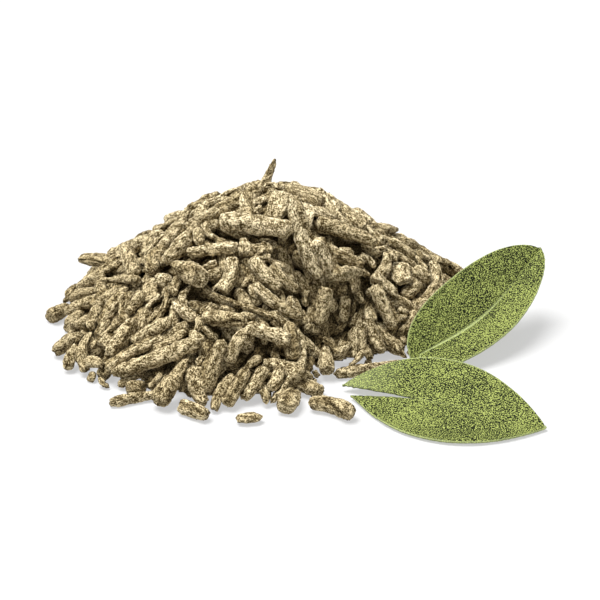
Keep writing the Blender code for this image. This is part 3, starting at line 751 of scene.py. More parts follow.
def new_tree(name, inputs):
    """An empty geometry tree. Returns its nodes, its inputs by name and its group output."""
    tree = bpy.data.node_groups.new(name, "GeometryNodeTree")
    tree.interface.new_socket("Geometry", in_out="INPUT", socket_type="NodeSocketGeometry")
    for label, default in inputs.items():
        kind = "NodeSocketInt" if isinstance(default, int) else "NodeSocketFloat"
        tree.interface.new_socket(label, in_out="INPUT", socket_type=kind).default_value = default
    tree.interface.new_socket("Geometry", in_out="OUTPUT", socket_type="NodeSocketGeometry")
    nodes = Nodes(tree)
    source = tree.nodes.new("NodeGroupInput")
    given = {socket.name: Value(nodes, socket) for socket in source.outputs if socket.name}
    return nodes, given, tree.nodes.new("NodeGroupOutput")


def end_tree(nodes, geometry, material, group_output):
    """Smooth shading and the material, with all instances made real."""
    geometry = nodes.add("GeometryNodeSetShadeSmooth", None, {"Geometry": geometry})
    geometry = nodes.add("GeometryNodeRealizeInstances", None, {"Geometry": geometry})
    geometry = nodes.add("GeometryNodeSetMaterial", None, {"Geometry": geometry, "Material": material})
    nodes.tree.links.new(geometry.socket, group_output.inputs[0])


def scrap_spine(nodes, given):
    """The middle line, evenly divided, with the distances and directions that the section needs.

    Wherever the seed is used, it is multiplied by an odd number, so that no two noises run alike.
    """
    line = nodes.add("GeometryNodeMeshToCurve", None, {"Mesh": given["Geometry"]})
    sockets = {"Curve": line, "Length": given["Spacing"]}
    line = nodes.add("GeometryNodeResampleCurve", {"mode": "LENGTH"}, sockets)
    line = nodes.add("GeometryNodeSetCurveNormal", {"mode": "Z_UP"}, {"Curve": line})
    along = nodes.add("GeometryNodeSplineParameter", output="Factor")
    run = nodes.add("GeometryNodeSplineParameter", output="Length")
    line = nodes.store(line, "along", along)
    line = nodes.store(line, "run", run)
    for name, source in (("centre", "Position"), ("side", "Normal"), ("forward", "Tangent")):
        line = nodes.store(line, name, nodes.add("GeometryNodeInput" + source), "FLOAT_VECTOR")
    t = along * 2.0 - 1.0
    t2 = t * t
    t8 = t2 * t2 * t2 * t2
    t24 = t8 * t8 * t8
    gently, late, last = BLUNT_END
    blunt = nodes.root(1.0 - t2 * gently - t8 * late - t24 * last)
    closes, fullness = POINTED_END
    sharp = nodes.math("MINIMUM", nodes.root(closes - along) * fullness, blunt)
    shape = nodes.mix("FLOAT", nodes.attribute("pointed"), blunt, sharp)
    seed = nodes.attribute("seed")
    swell = nodes.noise(nodes.xyz(run * SWELL_SCALE, seed * 7.3, 0.0), 1.0, 1.0)
    swell = swell * SWELL_MOST + SWELL_LEAST
    lean = t * (nodes.math("FRACT", seed * 3.17) * 0.5 - 0.25) + 1.0
    return nodes.store(line, "girth", nodes.attribute("half_width") * shape * swell * lean)


def scrap_section(nodes, given, line):
    """A rolled-up section round the middle line: a spiral lip, flattened or cupped."""
    sockets = {"Resolution": given["Sides"], "Radius": 1.0}
    ring = nodes.add("GeometryNodeCurvePrimitiveCircle", {"mode": "RADIUS"}, sockets)
    ring = nodes.store(ring, "turn", nodes.add("GeometryNodeSplineParameter", output="Factor"))
    sockets = {"Curve": line, "Profile Curve": ring, "Fill Caps": True}
    sockets["Scale"] = nodes.attribute("girth")
    tube = nodes.add("GeometryNodeCurveToMesh", None, sockets)
    here = nodes.add("GeometryNodeInputPosition")
    side = nodes.attribute("side", "FLOAT_VECTOR")
    up = nodes.vector("CROSS_PRODUCT", nodes.attribute("forward", "FLOAT_VECTOR"), side)
    out = nodes.vector("SUBTRACT", here, nodes.attribute("centre", "FLOAT_VECTOR"))
    rise = nodes.vector("DOT_PRODUCT", out, up)
    across = nodes.vector("DOT_PRODUCT", out, side)
    seed = nodes.attribute("seed")
    place = nodes.xyz(nodes.attribute("run") * WANDER_SCALE, seed * 3.1, 4.0)
    wander = nodes.noise(place, 1.0, 1.0) * 0.5
    spin = nodes.math("FRACT", nodes.attribute("turn") + wander + seed * 1.7)
    curl = nodes.attribute("curl")
    lip = (spin * LIP_STEP - LIP_STEP / 2) * curl + 1.0
    lower = up_by(nodes, up, rise * lip * (nodes.attribute("flatness") - 1.0))
    girth = nodes.math("MAXIMUM", nodes.attribute("girth"), LEAST_GIRTH)
    cup = across * across / girth * nodes.attribute("cup")
    moved = nodes.vector("ADD", nodes.vector("SCALE", out, scale=lip - 1.0), lower)
    tube = nodes.move(tube, nodes.vector("ADD", moved, up_by(nodes, up, cup)))
    near = 0.5 - nodes.math("ABSOLUTE", spin - 0.5)
    seam = nodes.math("MAXIMUM", 1.0 - near / SEAM_SHARE, 0.0)
    return nodes.store(tube, "seam", seam * curl)


def up_by(nodes, up, height):
    """A move along the section's own upward direction."""
    return nodes.vector("SCALE", up, scale=height)


def scrap_relief(nodes, given, tube):
    """Wrinkles along the roll, lumps, crumbly grain and hollow ends."""
    angle = nodes.attribute("turn") * (2 * math.pi)
    girth, run, seed = nodes.attribute("girth"), nodes.attribute("run"), nodes.attribute("seed")
    x, y = nodes.math("COSINE", angle) * girth, nodes.math("SINE", angle) * girth
    shift = nodes.xyz(seed * 0.37, seed * 0.11, seed * 0.53)
    grain = nodes.vector("ADD", nodes.xyz(x, y, run), shift)
    streak = nodes.vector("ADD", nodes.xyz(x, y, run * STRETCH), shift)
    wrinkle = nodes.noise(streak, WRINKLE_SCALE, 2.0, 0.6) - 0.5
    lump = nodes.noise(grain, LUMP_SCALE, 1.0) - 0.5
    knob = nodes.noise(grain, KNOB_SCALE, 1.0) - 0.5
    crumb = nodes.noise(grain, GRAIN_SCALE, 2.0, 0.6) - 0.5
    rough = wrinkle * given["Wrinkle"] + knob * given["Knob"] + crumb * given["Grain"]
    relief = rough * 2.0 - nodes.attribute("seam") * given["Seam"]
    of_wrinkle, of_crumb, of_knob = RELIEF_SHARES
    # This relief also tints the colour: painted highlight on ridges, painted shade in creases and pits.
    shown = wrinkle * of_wrinkle + crumb * of_crumb + knob * of_knob + 0.5
    tube = nodes.store(tube, "relief", shown)
    tube = nodes.store(tube, "grain", grain, "FLOAT_VECTOR")
    tube = nodes.store(tube, "streak", streak, "FLOAT_VECTOR")
    along = nodes.attribute("along")
    out = nodes.math("ABSOLUTE", along * 2.0 - 1.0)
    end = nodes.math("MAXIMUM", out - (1.0 - END_SHARE), 0.0) / END_SHARE
    outward = nodes.math("SIGN", along - 0.5)
    torn = (nodes.noise(grain, TEAR_SCALE, 1.0) - 0.5) * given["Tear"] * 2.0
    drop = end * (end * nodes.attribute("hollow") * girth * 1.3 + torn) * outward
    height = relief + lump * given["Lump"] * 2.0
    swollen = nodes.vector("SCALE", nodes.add("GeometryNodeInputNormal"), scale=height)
    inward = nodes.vector("SCALE", nodes.attribute("forward", "FLOAT_VECTOR"), scale=drop * -1.0)
    return nodes.move(tube, nodes.vector("ADD", swollen, inward))


def loose_crumbs(nodes, given, tube):
    """Tiny crumbs that cling to the surface."""
    sockets = {"Mesh": tube, "Density": given["Crumb density"], "Seed": given["Crumb seed"]}
    points = nodes.add("GeometryNodeDistributePointsOnFaces", {"distribute_method": "RANDOM"}, sockets)
    ball = nodes.add("GeometryNodeMeshIcoSphere", None, {"Radius": 1.0, "Subdivisions": 1})
    settings = {"data_type": "FLOAT_VECTOR"}
    least, most = (0.45, 0.35, 0.3), (1.5, 1.0, 0.8)
    shape = nodes.add("FunctionNodeRandomValue", settings, {"Min": least, "Max": most, "Seed": 3})
    shape = nodes.vector("SCALE", shape, scale=given["Crumb size"])
    sockets = {"Min": (0.0, 0.0, 0.0), "Max": (6.3, 6.3, 6.3), "Seed": 5}
    turned = nodes.add("FunctionNodeRandomValue", settings, sockets)
    sockets = {"Points": points, "Instance": ball, "Rotation": turned, "Scale": shape}
    crumbs = nodes.add("GeometryNodeInstanceOnPoints", None, sockets)
    crumbs = nodes.add("GeometryNodeRealizeInstances", None, {"Geometry": crumbs})
    joined = nodes.add("GeometryNodeJoinGeometry")
    for part in (tube, crumbs):
        nodes.put(joined.socket.node.inputs[0], part)
    return joined


def above_floor(nodes, geometry):
    """Whatever dips below the floor is lifted onto it."""
    x, y, z = nodes.parts(nodes.add("GeometryNodeInputPosition"))
    lifted = nodes.xyz(x, y, nodes.math("MAXIMUM", z, FLOOR_GAP))
    return nodes.add("GeometryNodeSetPosition", None, {"Geometry": geometry, "Position": lifted})


def scrap_tree(material):
    """Grows scraps of dried leaf from their middle lines."""
    inputs = {
        "Spacing": 0.45 * MM, "Sides": 30, "Wrinkle": 0.22 * MM, "Knob": 0.2 * MM, "Grain": 0.16 * MM,
        "Lump": 0.6 * MM, "Seam": 0.3 * MM, "Tear": 1.2 * MM,
        "Crumb density": 0.0, "Crumb size": 0.3 * MM, "Crumb seed": 1,
    }
    nodes, given, group_output = new_tree("Dried scraps", inputs)
    tube = scrap_section(nodes, given, scrap_spine(nodes, given))
    tube = scrap_relief(nodes, given, tube)
    tube = above_floor(nodes, loose_crumbs(nodes, given, tube))
    end_tree(nodes, tube, material, group_output)
    return nodes.tree


def middle_lines(name, numbered):
    """A mesh of the middle lines of numbered scraps, with what the tree needs at each point."""
    verts, edges, values = [], [], {}
    t = np.linspace(-1.0, 1.0, LINE_POINTS)
    for number, scrap in numbered:
        points = centre_line(scrap, t)
        first = len(verts)
        verts += [tuple(point) for point in points]
        edges += [(first + k, first + k + 1) for k in range(LINE_POINTS - 1)]
        for key, value in traits(scrap, number).items():
            values.setdefault(key, []).extend([value] * LINE_POINTS)
        # Painted shade: darker the further a scrap lies below the heap's top, and near the ground.
        under = (heap_top(points[:, 0], points[:, 1]) - points[:, 2]) / SHADE_DEPTH
        low = LOW_SHADE * (1.0 - points[:, 2] / LOW_HEIGHT)
        values.setdefault("deep", []).extend(np.clip(np.maximum(under, low), 0.0, 1.0))
    mesh = bpy.data.meshes.new(name)
    mesh.from_pydata(verts, edges, [])
    for key, found in values.items():
        add_values(mesh, key, found)
    return mesh


def add_values(mesh, key, values):
    """Gives each point of a mesh a value."""
    values = np.broadcast_to(values, len(mesh.vertices)).astype(np.float32)
    mesh.attributes.new(key, "FLOAT", "POINT").data.foreach_set("value", values)


def traits(scrap, number):
    """How one scrap is rolled, ended and tinted."""
    rng = random.Random(SEED * 1000 + number)
    return {
        "half_width": scrap.width,
        "flatness": scrap.depth / scrap.width,
        "seed": rng.uniform(0.0, 9.0),
        "pointed": float(scrap.kind == "stem" or rng.random() < POINTED_SHARE),
        "curl": CRUMB_CURL if scrap.kind == "crumb" else 1.0,
        "cup": rng.uniform(-MOST_CUP, MOST_CUP) if scrap.kind == "flake" else 0.0,
        "hollow": float(rng.random() < HOLLOW_SHARE),
        "tint": rng.uniform(*TINTS),
    }


def grown(name, mesh, tree, values, extra=()):
    """The evaluated result of a geometry tree on a mesh, as an object with a plain mesh."""
    seedling = bpy.data.objects.new(name + "_lines", mesh)
    bpy.context.scene.collection.objects.link(seedling)
    modifier = seedling.modifiers.new("Grow", "NODES")
    modifier.node_group = tree
    for item in tree.interface.items_tree:
        if item.item_type == "SOCKET" and item.in_out == "INPUT" and item.name in values:
            modifier[item.identifier] = values[item.name]
    for kind, settings in extra:
        further = seedling.modifiers.new(kind.title(), kind)
        for key, value in settings.items():
            setattr(further, key, value)
    evaluated = seedling.evaluated_get(bpy.context.evaluated_depsgraph_get())
    plain = bpy.data.meshes.new_from_object(evaluated)
    plain.name = name
    bpy.data.objects.remove(seedling)
    obj = bpy.data.objects.new(name, plain)
    bpy.context.scene.collection.objects.link(obj)
    return obj


def declare(obj, slot, *nodes):
    """Ties a piece to the body, and hides the frame's parts of the nodes that it stands for."""
    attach(obj, BODY)
    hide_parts(*nodes)


def new_material(name):
    """A material, its nodes and its shader."""
    material = bpy.data.materials.new(name)
    material.use_nodes = True
    shader = material.node_tree.nodes["Principled BSDF"]
    return material, Nodes(material.node_tree), shader


@lru_cache(maxsize=None)
def dried_material():
    """Crumbly dried leaf: pale and dark specks, fibres along the roll, painted highlight on ridges, and
    painted shade in its creases, pits and seams, on deep-lying scraps and at the heap's foot.
    """
    look = bpy.context.scene.sage_dried
    material, nodes, shader = new_material("Dried sage")
    grain, streak = nodes.surface("grain", "Vector"), nodes.surface("streak", "Vector")
    speck = nodes.noise(grain, look.speck_scale, 3.0, 0.75)
    fibre = nodes.noise(streak, look.speck_scale * FIBRE_SCALE, 2.0, 0.7)
    of_speck, of_fibre, of_relief_light_shade, shift = DRIED_TONE
    # Specks and fibres are the leaf's own grain; the relief's share adds painted highlight on ridges
    # and painted shade in hollows.
    tone = speck * of_speck + fibre * of_fibre + nodes.surface("relief") * of_relief_light_shade + shift
    colours = look.crease_shade_colour, look.speck_colour, look.dark_colour, look.leaf_colour
    colour = nodes.ramp(tone, list(zip(DRIED_STOPS, colours)))
    # Painted shade on deep and low-lying scraps, times each scrap's own tint.
    shade = (1.0 - nodes.surface("deep") * look.shade) * nodes.surface("tint")
    # Painted shade in the seam's groove.
    shade = shade * (1.0 - nodes.surface("seam") * SEAM_SHADE)
    warm_shade = nodes.xyz(shade, *(nodes.math("POWER", shade, power) for power in WARMTH))
    colour = nodes.mix("RGBA", 1.0, colour, warm_shade, "MULTIPLY")
    finish(nodes, shader, colour, tone, 0.8, look.bump, 0.95)
    return material


def finish(nodes, shader, colour, tone, strength, depth, roughness):
    """Colours a shader, and gives it fine relief and a dull surface."""
    sockets = {"Height": tone, "Strength": strength, "Distance": depth}
    nodes.put(shader.inputs["Base Color"], colour)
    nodes.put(shader.inputs["Normal"], nodes.add("ShaderNodeBump", None, sockets, "Normal"))
    shader.inputs["Roughness"].default_value = roughness
    shader.inputs["Specular IOR Level"].default_value = 0.15


def leaf_material(name, stops, rib_colour, pale_edge):
    """Pebbled leaf skin: light pebbles, dark between them, a pale midrib and edge."""
    look = bpy.context.scene.sage_leaves
    material, nodes, shader = new_material(name)
    place = nodes.add("ShaderNodeTexCoord", output="Object")
    cell = nodes.cells(place, look.pebble_scale)
    speck = nodes.noise(place, look.pebble_scale * SPECK_SCALE, 0.0)
    patch = nodes.noise(place, PATCH_SCALE)
    of_speck, of_cell, of_patch, shift = LEAF_TONE
    tone = speck * of_speck + cell * of_cell + patch * of_patch + shift
    colour = nodes.ramp(tone, stops)
    across = nodes.math("ABSOLUTE", nodes.surface("across"))
    edge = nodes.math("MULTIPLY", (across - EDGE_FROM) / EDGE_WIDTH, pale_edge, clamp=True)
    pale = nodes.math("MAXIMUM", nodes.surface("rib") * RIB_PALE, edge)
    pale = nodes.math("MAXIMUM", pale, nodes.surface("horn") * PALE_HORN)
    colour = nodes.mix("RGBA", pale, colour, (*rib_colour, 1.0))
    finish(nodes, shader, colour, tone, 0.7, look.bump, 0.8)
    return material


def leaf_tree(material):
    """Raises the pebbles, veins and midrib of a leaf's upper face."""
    inputs = {
        "Pebble": 0.1 * MM, "Rib": 0.25 * MM, "Vein": 0.12 * MM, "Wave": 0.5 * MM,
        "Vein count": 9.0, "Midrib": 1.0,
    }
    nodes, given, group_output = new_tree("Leaf skin", inputs)
    share, across = nodes.attribute("share"), nodes.attribute("across")
    out = nodes.math("ABSOLUTE", across)
    rib = nodes.math("MAXIMUM", 1.0 - out / RIB_SHARE, 0.0) * given["Midrib"]
    fading = nodes.math("MULTIPLY", RIB_END - share, RIB_FADE, clamp=True)
    skin = nodes.store(given["Geometry"], "rib", rib * fading)
    place = nodes.add("GeometryNodeInputPosition")
    pebble = 0.5 - nodes.cells(place, RAISED_SCALE)
    wave = nodes.noise(place, WAVE_SCALE, 1.0) - 0.5
    vein = nodes.math("FRACT", share * given["Vein count"] - out * VEIN_SLANT)
    vein = nodes.math("ABSOLUTE", vein - 0.5)
    vein = nodes.math("MAXIMUM", 1.0 - vein * VEIN_SHARPNESS, 0.0) * (1.0 - out)
    height = pebble * given["Pebble"] + wave * given["Wave"]
    height = height - vein * given["Vein"] - rib * given["Rib"]
    offset = nodes.vector("SCALE", nodes.add("GeometryNodeInputNormal"), scale=height)
    end_tree(nodes, nodes.move(skin, offset), material, group_output)
    return nodes.tree


def rib_bend(leaf, share):
    """How far the midrib of a whole leaf runs to the left, most towards the stem end."""
    if leaf.split:
        return 0.0
    inside = min(max(share, 0.0), 1.0)
    bend = RIB_BENDS[0] * (1.0 - inside) ** 3 - RIB_BENDS[1] * math.sin(math.pi * inside) ** 2
    return bend * min(inside / RIB_START, 1.0)


def leaf_sheet(leaf):
    """The upper face of a leaf as one mesh, with how far along and across each point is."""
    bm = bmesh.new()
    share_layer, across_layer, horn_layer = (
        bm.verts.layers.float.new(name) for name in ("share", "across", "horn")
    )
    leftward = leaf.face.cross(leaf.tip - leaf.stem).normalized()
    for left, grid in zip((True, False), leaf_faces(leaf, SKIN_ROWS, SKIN_COLUMNS)):
        verts = []
        for share, row in zip(leaf_shares(leaf, SKIN_ROWS), grid):
            horn = leaf.horned * max(0.0, 1.0 - share / HORN_SHARE) if left else 0.0
            line = []
            for k, point in enumerate(row):
                out = k / SKIN_COLUMNS
                vert = bm.verts.new(point + leftward * (1.0 - out) * rib_bend(leaf, share))
                vert[share_layer] = share
                vert[across_layer] = out if left else -out
                vert[horn_layer] = horn
                line.append(vert)
            verts.append(line)
        for row, following in zip(verts, verts[1:]):
            for k in range(SKIN_COLUMNS):
                bm.faces.new((row[k], row[k + 1], following[k + 1], following[k]))
    bmesh.ops.remove_doubles(bm, verts=bm.verts, dist=MERGE)
    bmesh.ops.recalc_face_normals(bm, faces=bm.faces)
    if sum(face.normal.dot(leaf.face) for face in bm.faces) < 0:
        bmesh.ops.reverse_faces(bm, faces=bm.faces)
    mesh = bpy.data.meshes.new(leaf.name + "_sheet")
    bm.to_mesh(mesh)
    bm.free()
    return mesh


def core_mesh():
    """A mound of crumbs a little below the scraps, darkened with painted shade."""
    side = int(round(2 * CORE_REACH / CORE_STEP)) + 1
    line = np.linspace(-CORE_REACH, CORE_REACH, side)
    x, y = np.meshgrid(line, line, indexing="ij")
    z = heap_top(x * CORE_SHRINK, y * CORE_SHRINK) - CORE_BELOW
    z = z + np.vectorize(lambda a, b: noise(Vector((a, b, 0.0)) * CORE_LUMPS))(x, y) * CORE_ROUGH
    inside = z > 0
    index = -np.ones(x.shape, int)
    index[inside] = np.arange(inside.sum())
    bm = bmesh.new()
    verts = [bm.verts.new(p) for p in zip(x[inside], y[inside], z[inside])]
    for i in range(side - 1):
        for j in range(side - 1):
            corners = (index[i, j], index[i + 1, j], index[i + 1, j + 1], index[i, j + 1])
            if min(corners) >= 0:
                bm.faces.new([verts[k] for k in corners])
    bmesh.ops.delete(bm, geom=[v for v in bm.verts if not v.link_faces], context="VERTS")
    rim = [edge for edge in bm.edges if edge.is_boundary]
    for vert in {vert for edge in rim for vert in edge.verts}:
        vert.co.z = FLOOR_CLEARANCE
    bmesh.ops.contextual_create(bm, geom=rim)
    bmesh.ops.recalc_face_normals(bm, faces=bm.faces)
    mesh = bpy.data.meshes.new("heap_core")
    bm.to_mesh(mesh)
    bm.free()
    mesh.shade_smooth()
    place = np.array([vert.co for vert in mesh.vertices], np.float32)
    for key in ("grain", "streak"):
        mesh.attributes.new(key, "FLOAT_VECTOR", "POINT").data.foreach_set("vector", place.ravel())
    # Painted shade: the mound darkens with height, least at its rim on the floor.
    deep = np.clip(place[:, 2] / CORE_DARKEST, CORE_PALEST, 1.0)
    for key, values in (("relief", 0.5), ("deep", deep), ("tint", 1.0), ("seam", 0.0)):
        add_values(mesh, key, values)
    return mesh


def length(name, description, default):
    return FloatProperty(name=name, description=description, default=default, unit="LENGTH")


def angle(name, description, degrees):
    default = math.radians(degrees)
    return FloatProperty(name=name, description=description, default=default, subtype="ANGLE")


def share(name, description, default):
    kept = {"subtype": "FACTOR", "min": 0.0, "max": 1.0}
    return FloatProperty(name=name, description=description, default=default, **kept)


def amount(name, description, default):
    return FloatProperty(name=name, description=description, default=default)


def colour(name, description, *default):
    return FloatVectorProperty(name=name, description=description, default=default, subtype="COLOR")


class DriedSettings(bpy.types.PropertyGroup):
    """How the dried scraps are shaped and coloured."""

    spacing: length("Ring spacing", "Distance between the rings of a scrap", 0.45 * MM)
    sides: IntProperty(name="Sides", description="Points round a scrap", default=30, min=8)
    wrinkle: length("Wrinkles", "Depth of the wrinkles along a scrap", 0.25 * MM)
    knob: length("Knobs", "Height of the small knobs", 0.25 * MM)
    grain: length("Grain", "Depth of the crumbly grain", 0.18 * MM)
    lump: length("Lumps", "Height of the lumps in a scrap's outline", 0.4 * MM)
    crumb_density: amount("Crumbs", "Clinging crumbs on each square metre of surface", 110000.0)
    crumb_size: length("Crumb size", "Radius of a clinging crumb", 0.3 * MM)
    speck_scale: amount("Speck scale", "Specks to a metre of surface", 2600.0)
    bump: length("Bump", "Depth of the finest relief", 0.3 * MM)
    # Painted shade on scraps deep in the heap, at its foot and on the mound.
    shade: share("Shade", "How much darker the deepest scraps are", 0.72)
    # Through the relief, the pale stop is partly painted highlight on ridges, and the dark and crease
    # stops partly painted shade in pits and creases.
    speck_colour: colour("Pale specks", "Colour of dry hairs and edges", 0.86, 0.735, 0.475)
    leaf_colour: colour("Dried leaf", "Colour of most of a scrap", 0.158, 0.115, 0.048)
    dark_colour: colour("Dark specks", "Colour of the pits", 0.055, 0.036, 0.011)
    crease_shade_colour: colour("Creases", "Colour of the deepest creases", 0.018, 0.011, 0.003)


class LeafSettings(bpy.types.PropertyGroup):
    """How the fresh leaves are shaped and coloured."""

    thickness: length("Thickness", "Thickness of a leaf", 0.5 * MM)
    pebble: length("Pebbles", "Height of the pebbled skin", 0.16 * MM)
    pebble_scale: amount("Pebble scale", "Pebbles to a metre of skin", 3600.0)
    bump: length("Bump", "Depth of the finest relief", 0.25 * MM)
    light_colour: colour("Pebble tops", "Colour of the raised skin", 0.29, 0.332, 0.09)
    middle_colour: colour("Skin", "Colour of most of the leaf", 0.046, 0.062, 0.009)
    dark_colour: colour("Between pebbles", "Colour between the pebbles", 0.004, 0.006, 0.001)
    faint_midrib: share("Faint midrib", "How much of the midrib shows on the lying leaf", 0.15)
    rib_colour: colour("Midrib", "Colour of the midrib and edge", 0.44, 0.50, 0.22)
    under_colour: colour("Underside", "Colour of the hairy underside", 0.34, 0.38, 0.22)


class StageSettings(bpy.types.PropertyGroup):
    """The floor, the light and the camera."""

    floor_colour: colour("Floor", "Colour of the floor", 0.25, 0.25, 0.25)
    floor_glow: amount("Floor glow", "Light that the floor gives off", 0.5)
    sky: amount("Sky", "Strength of the light all round", 0.36)
    key_strength: amount("Key light", "Its strength in watts on a square metre", 5.9)
    key_softness: angle("Key softness", "Angle over which the key light is spread", 38)
    fill_strength: amount("Fill light", "Its strength in watts on a square metre", 0.55)
    fill_softness: angle("Fill softness", "Angle over which the fill light is spread", 60)
    camera_height: angle("Camera height", "Angle of the camera above the horizon", 25)
    camera_distance: length("Camera distance", "From the camera to the middle of the view", 0.5)
    lens: amount("Lens", "Focal length in millimetres", 100.0)


def grow_scraps(name, numbered, slot, *nodes, hidden=False):
    """Grows numbered scraps as one object that stands for the given nodes."""
    look = bpy.context.scene.sage_dried
    values = {
        "Spacing": look.spacing, "Sides": look.sides, "Wrinkle": look.wrinkle, "Knob": look.knob,
        "Grain": look.grain, "Lump": look.lump, "Crumb density": look.crumb_density,
        "Crumb size": look.crumb_size, "Crumb seed": numbered[0][0],
    }
    if hidden:
        values.update({"Spacing": look.spacing * 2, "Sides": look.sides // 2, "Crumb density": 0.0})
    tree = bpy.data.node_groups.get("Dried scraps") or scrap_tree(dried_material())
    obj = grown(name, middle_lines(name + "_lines", numbered), tree, values)
    if not obj.data.polygons:
        raise RuntimeError(f"{name} has no faces")
    declare(obj, slot, *nodes)


def in_groups(members, most):
    """Numbered scraps in groups of about the same total length."""
    groups, length = [[]], 0.0
    for number, scrap in members:
        if length > most:
            groups.append([])
            length = 0.0
        groups[-1].append((number, scrap))
        length += scrap.length
    return groups


class SAGE_OT_separate_scraps(bpy.types.Operator):
    """Grow each scrap that is a node of its own"""

    bl_idname = "sage.separate_scraps"
    bl_label = "Separate scraps"

    def execute(self, context):
        scraps, names, _ = laid_heap()
        for number, name in names.items():
            grow_scraps("dried_" + name, [(number, scraps[number])], "dried_sage", name)
        return {"FINISHED"}


class SAGE_OT_packed_scraps(bpy.types.Operator):
    """Grow the scraps packed between the separate ones, in groups"""

    bl_idname = "sage.packed_scraps"
    bl_label = "Packed scraps"

    def execute(self, context):
        scraps, names, shown = laid_heap()
        packed = [number for number in range(len(scraps)) if number not in names]
        for kind, hidden, most in (("packed", False, GROUP_LENGTH), ("hidden", True, HIDDEN_LENGTH)):
            members = [(n, scraps[n]) for n in packed if (shown[n] < LEAST_SEEN) == hidden]
            for k, numbered in enumerate(in_groups(members, most)):
                name = f"{kind}_scraps_{k + 1}"
                grow_scraps(name, numbered, "dried_sage", "joined_scraps", hidden=hidden)
        return {"FINISHED"}


class SAGE_OT_heap_core(bpy.types.Operator):
    """Make the mound of crumbs below the scraps"""

    bl_idname = "sage.heap_core"
    bl_label = "Heap core"

    def execute(self, context):
        mesh = core_mesh()
        if not mesh.polygons:
            raise RuntimeError("the heap's core has no faces")
        mesh.materials.append(dried_material())
        obj = bpy.data.objects.new("heap_core", mesh)
        context.scene.collection.objects.link(obj)
        declare(obj, "dried_sage_shade", "joined_scraps")
        return {"FINISHED"}


class SAGE_OT_leaves(bpy.types.Operator):
    """Make the two fresh leaves"""

    bl_idname = "sage.leaves"
    bl_label = "Fresh leaves"

    def execute(self, context):
        look = context.scene.sage_leaves
        stops = list(zip(LEAF_STOPS, (look.dark_colour, look.light_colour, look.middle_colour)))
        upper = leaf_material("Leaf upper face", stops, look.rib_colour, 0.45)
        stops = list(zip(UNDER_STOPS, (look.middle_colour, look.light_colour, look.under_colour)))
        under = leaf_material("Leaf underside", stops, look.rib_colour, 0.3)
        tree = leaf_tree(upper)
        thicken = {"thickness": look.thickness, "offset": -1.0, "material_offset": 1}
        for leaf in LEAVES:
            sheet = leaf_sheet(leaf)
            sheet.materials.append(upper)
            sheet.materials.append(under)
            values = {"Pebble": look.pebble, "Midrib": 1.0 if leaf.stalk else look.faint_midrib}
            obj = grown(leaf.name + "_blade", sheet, tree, values, [("SOLIDIFY", thicken)])
            if len(obj.data.polygons) < SKIN_ROWS * SKIN_COLUMNS:
                raise RuntimeError(f"{leaf.name} has too few faces")
            declare(obj, "fresh_leaf", leaf.name)
        return {"FINISHED"}


def glowing_material(name, colour, glow):
    """A dull material that gives off white light."""
    material, _, shader = new_material(name)
    shader.inputs["Base Color"].default_value = (*colour, 1.0)
    shader.inputs["Roughness"].default_value = 1.0
    shader.inputs["Emission Color"].default_value = (1.0, 1.0, 1.0, 1.0)
    shader.inputs["Emission Strength"].default_value = glow
    return material


def floor_shape():
    """The corners and the face of the floor."""
    corners = ((-1, -1), (1, -1), (1, 1), (-1, 1))
    return [(x * FLOOR_REACH, y * FLOOR_REACH, 0.0) for x, y in corners], [(0, 1, 2, 3)]


def backdrop_shape():
    """The points and faces of an upright ring far round the heap, which faces inwards."""
    turns = [2 * math.pi * k / BACKDROP_SIDES for k in range(BACKDROP_SIDES)]
    ring = [(BACKDROP_RADIUS * math.cos(turn), BACKDROP_RADIUS * math.sin(turn)) for turn in turns]
    verts = [(x, y, z) for x, y in ring for z in (0.0, BACKDROP_HEIGHT)]
    count = len(verts)
    return verts, [(k, k + 1, (k + 3) % count, (k + 2) % count) for k in range(0, count, 2)]


def stage_piece(name, verts, faces, colour, glow):
    """Adds a part of the stage, which isn't part of the heap."""
    mesh = bpy.data.meshes.new(name)
    mesh.from_pydata(verts, [], faces)
    mesh.materials.append(glowing_material(name.title(), colour, glow))
    obj = bpy.data.objects.new(name, mesh)
    bpy.context.scene.collection.objects.link(obj)


def add_light(name, place, softness, strength):
    """A soft light from a place towards the heap."""
    light = bpy.data.lights.new(name, "SUN")
    light.angle, light.energy = softness, strength
    aim(bpy.data.objects.new(name, light), place, -place)


def add_camera(look):
    """The camera, looking at the middle of the view from in front and above."""
    camera = bpy.data.objects.new("camera", bpy.data.cameras.new("camera"))
    camera.data.lens = look.lens
    ahead = Vector((0.0, math.cos(look.camera_height), -math.sin(look.camera_height)))
    aim(camera, VIEW_MIDDLE - ahead * look.camera_distance, ahead)
    return camera


def aim(obj, place, ahead):
    """Puts a light or camera in its place, facing ahead."""
    obj.location = place
    obj.rotation_euler = ahead.to_track_quat("-Z", "Y").to_euler()
    bpy.context.scene.collection.objects.link(obj)


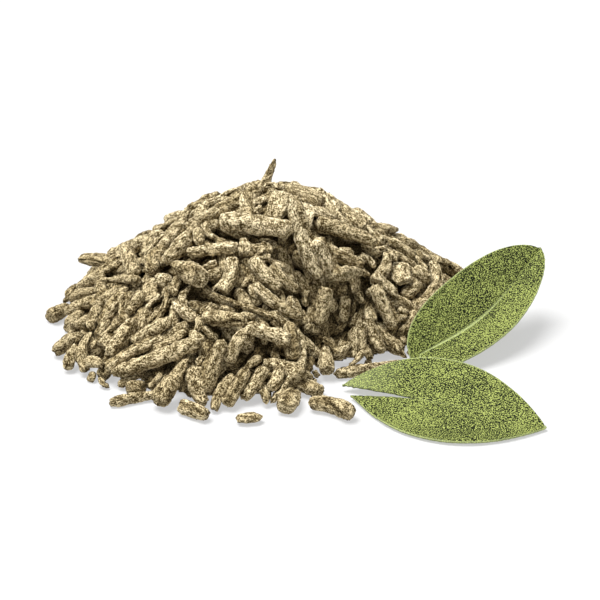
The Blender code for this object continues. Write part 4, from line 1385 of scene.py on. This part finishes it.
def white_sky(strength):
    """A world of even white light."""
    world = bpy.data.worlds.new("sky")
    world.use_nodes = True
    sockets = world.node_tree.nodes["Background"].inputs
    sockets["Color"].default_value = (1.0, 1.0, 1.0, 1.0)
    sockets["Strength"].default_value = strength
    return world


class SAGE_OT_stage(bpy.types.Operator):
    """Set up the floor, the light and the camera"""

    bl_idname = "sage.stage"
    bl_label = "Stage"

    def execute(self, context):
        look, scene = context.scene.sage_stage, context.scene
        stage_piece("floor", *floor_shape(), look.floor_colour, look.floor_glow)
        stage_piece("backdrop", *backdrop_shape(), (0.0, 0.0, 0.0), 1.0)
        add_light("key", KEY_PLACE, look.key_softness, look.key_strength)
        add_light("fill", FILL_PLACE, look.fill_softness, look.fill_strength)
        scene.world = white_sky(look.sky)
        scene.view_settings.view_transform = "Standard"
        scene.camera = add_camera(look)
        return {"FINISHED"}


OPERATORS = (
    SAGE_OT_separate_scraps, SAGE_OT_packed_scraps, SAGE_OT_heap_core, SAGE_OT_leaves, SAGE_OT_stage,
)


class SAGE_PT_panel(bpy.types.Panel):
    """Lists the steps and settings of the heap"""

    bl_label = "Dried sage heap"
    bl_space_type = "VIEW_3D"
    bl_region_type = "UI"
    bl_category = "Sage"

    def draw(self, context):
        for operator in OPERATORS:
            self.layout.operator(operator.bl_idname)
        for name in SETTINGS:
            box = self.layout.box()
            settings = getattr(context.scene, name)
            for key in settings.bl_rna.properties.keys():
                if key not in ("rna_type", "name"):
                    box.prop(settings, key)


SETTINGS = {"sage_dried": DriedSettings, "sage_leaves": LeafSettings, "sage_stage": StageSettings}


def register():
    for kind in (*SETTINGS.values(), *OPERATORS, SAGE_PT_panel):
        bpy.utils.register_class(kind)
    for name, kind in SETTINGS.items():
        setattr(bpy.types.Scene, name, PointerProperty(type=kind))


def unregister():
    for name in SETTINGS:
        delattr(bpy.types.Scene, name)
    for kind in (SAGE_PT_panel, *OPERATORS, *SETTINGS.values()):
        bpy.utils.unregister_class(kind)


def main():
    register()
    bpy.ops.sage.separate_scraps()
    bpy.ops.sage.packed_scraps()
    bpy.ops.sage.heap_core()
    bpy.ops.sage.leaves()
    bpy.ops.sage.stage()


if __name__ == "__main__":
    main()
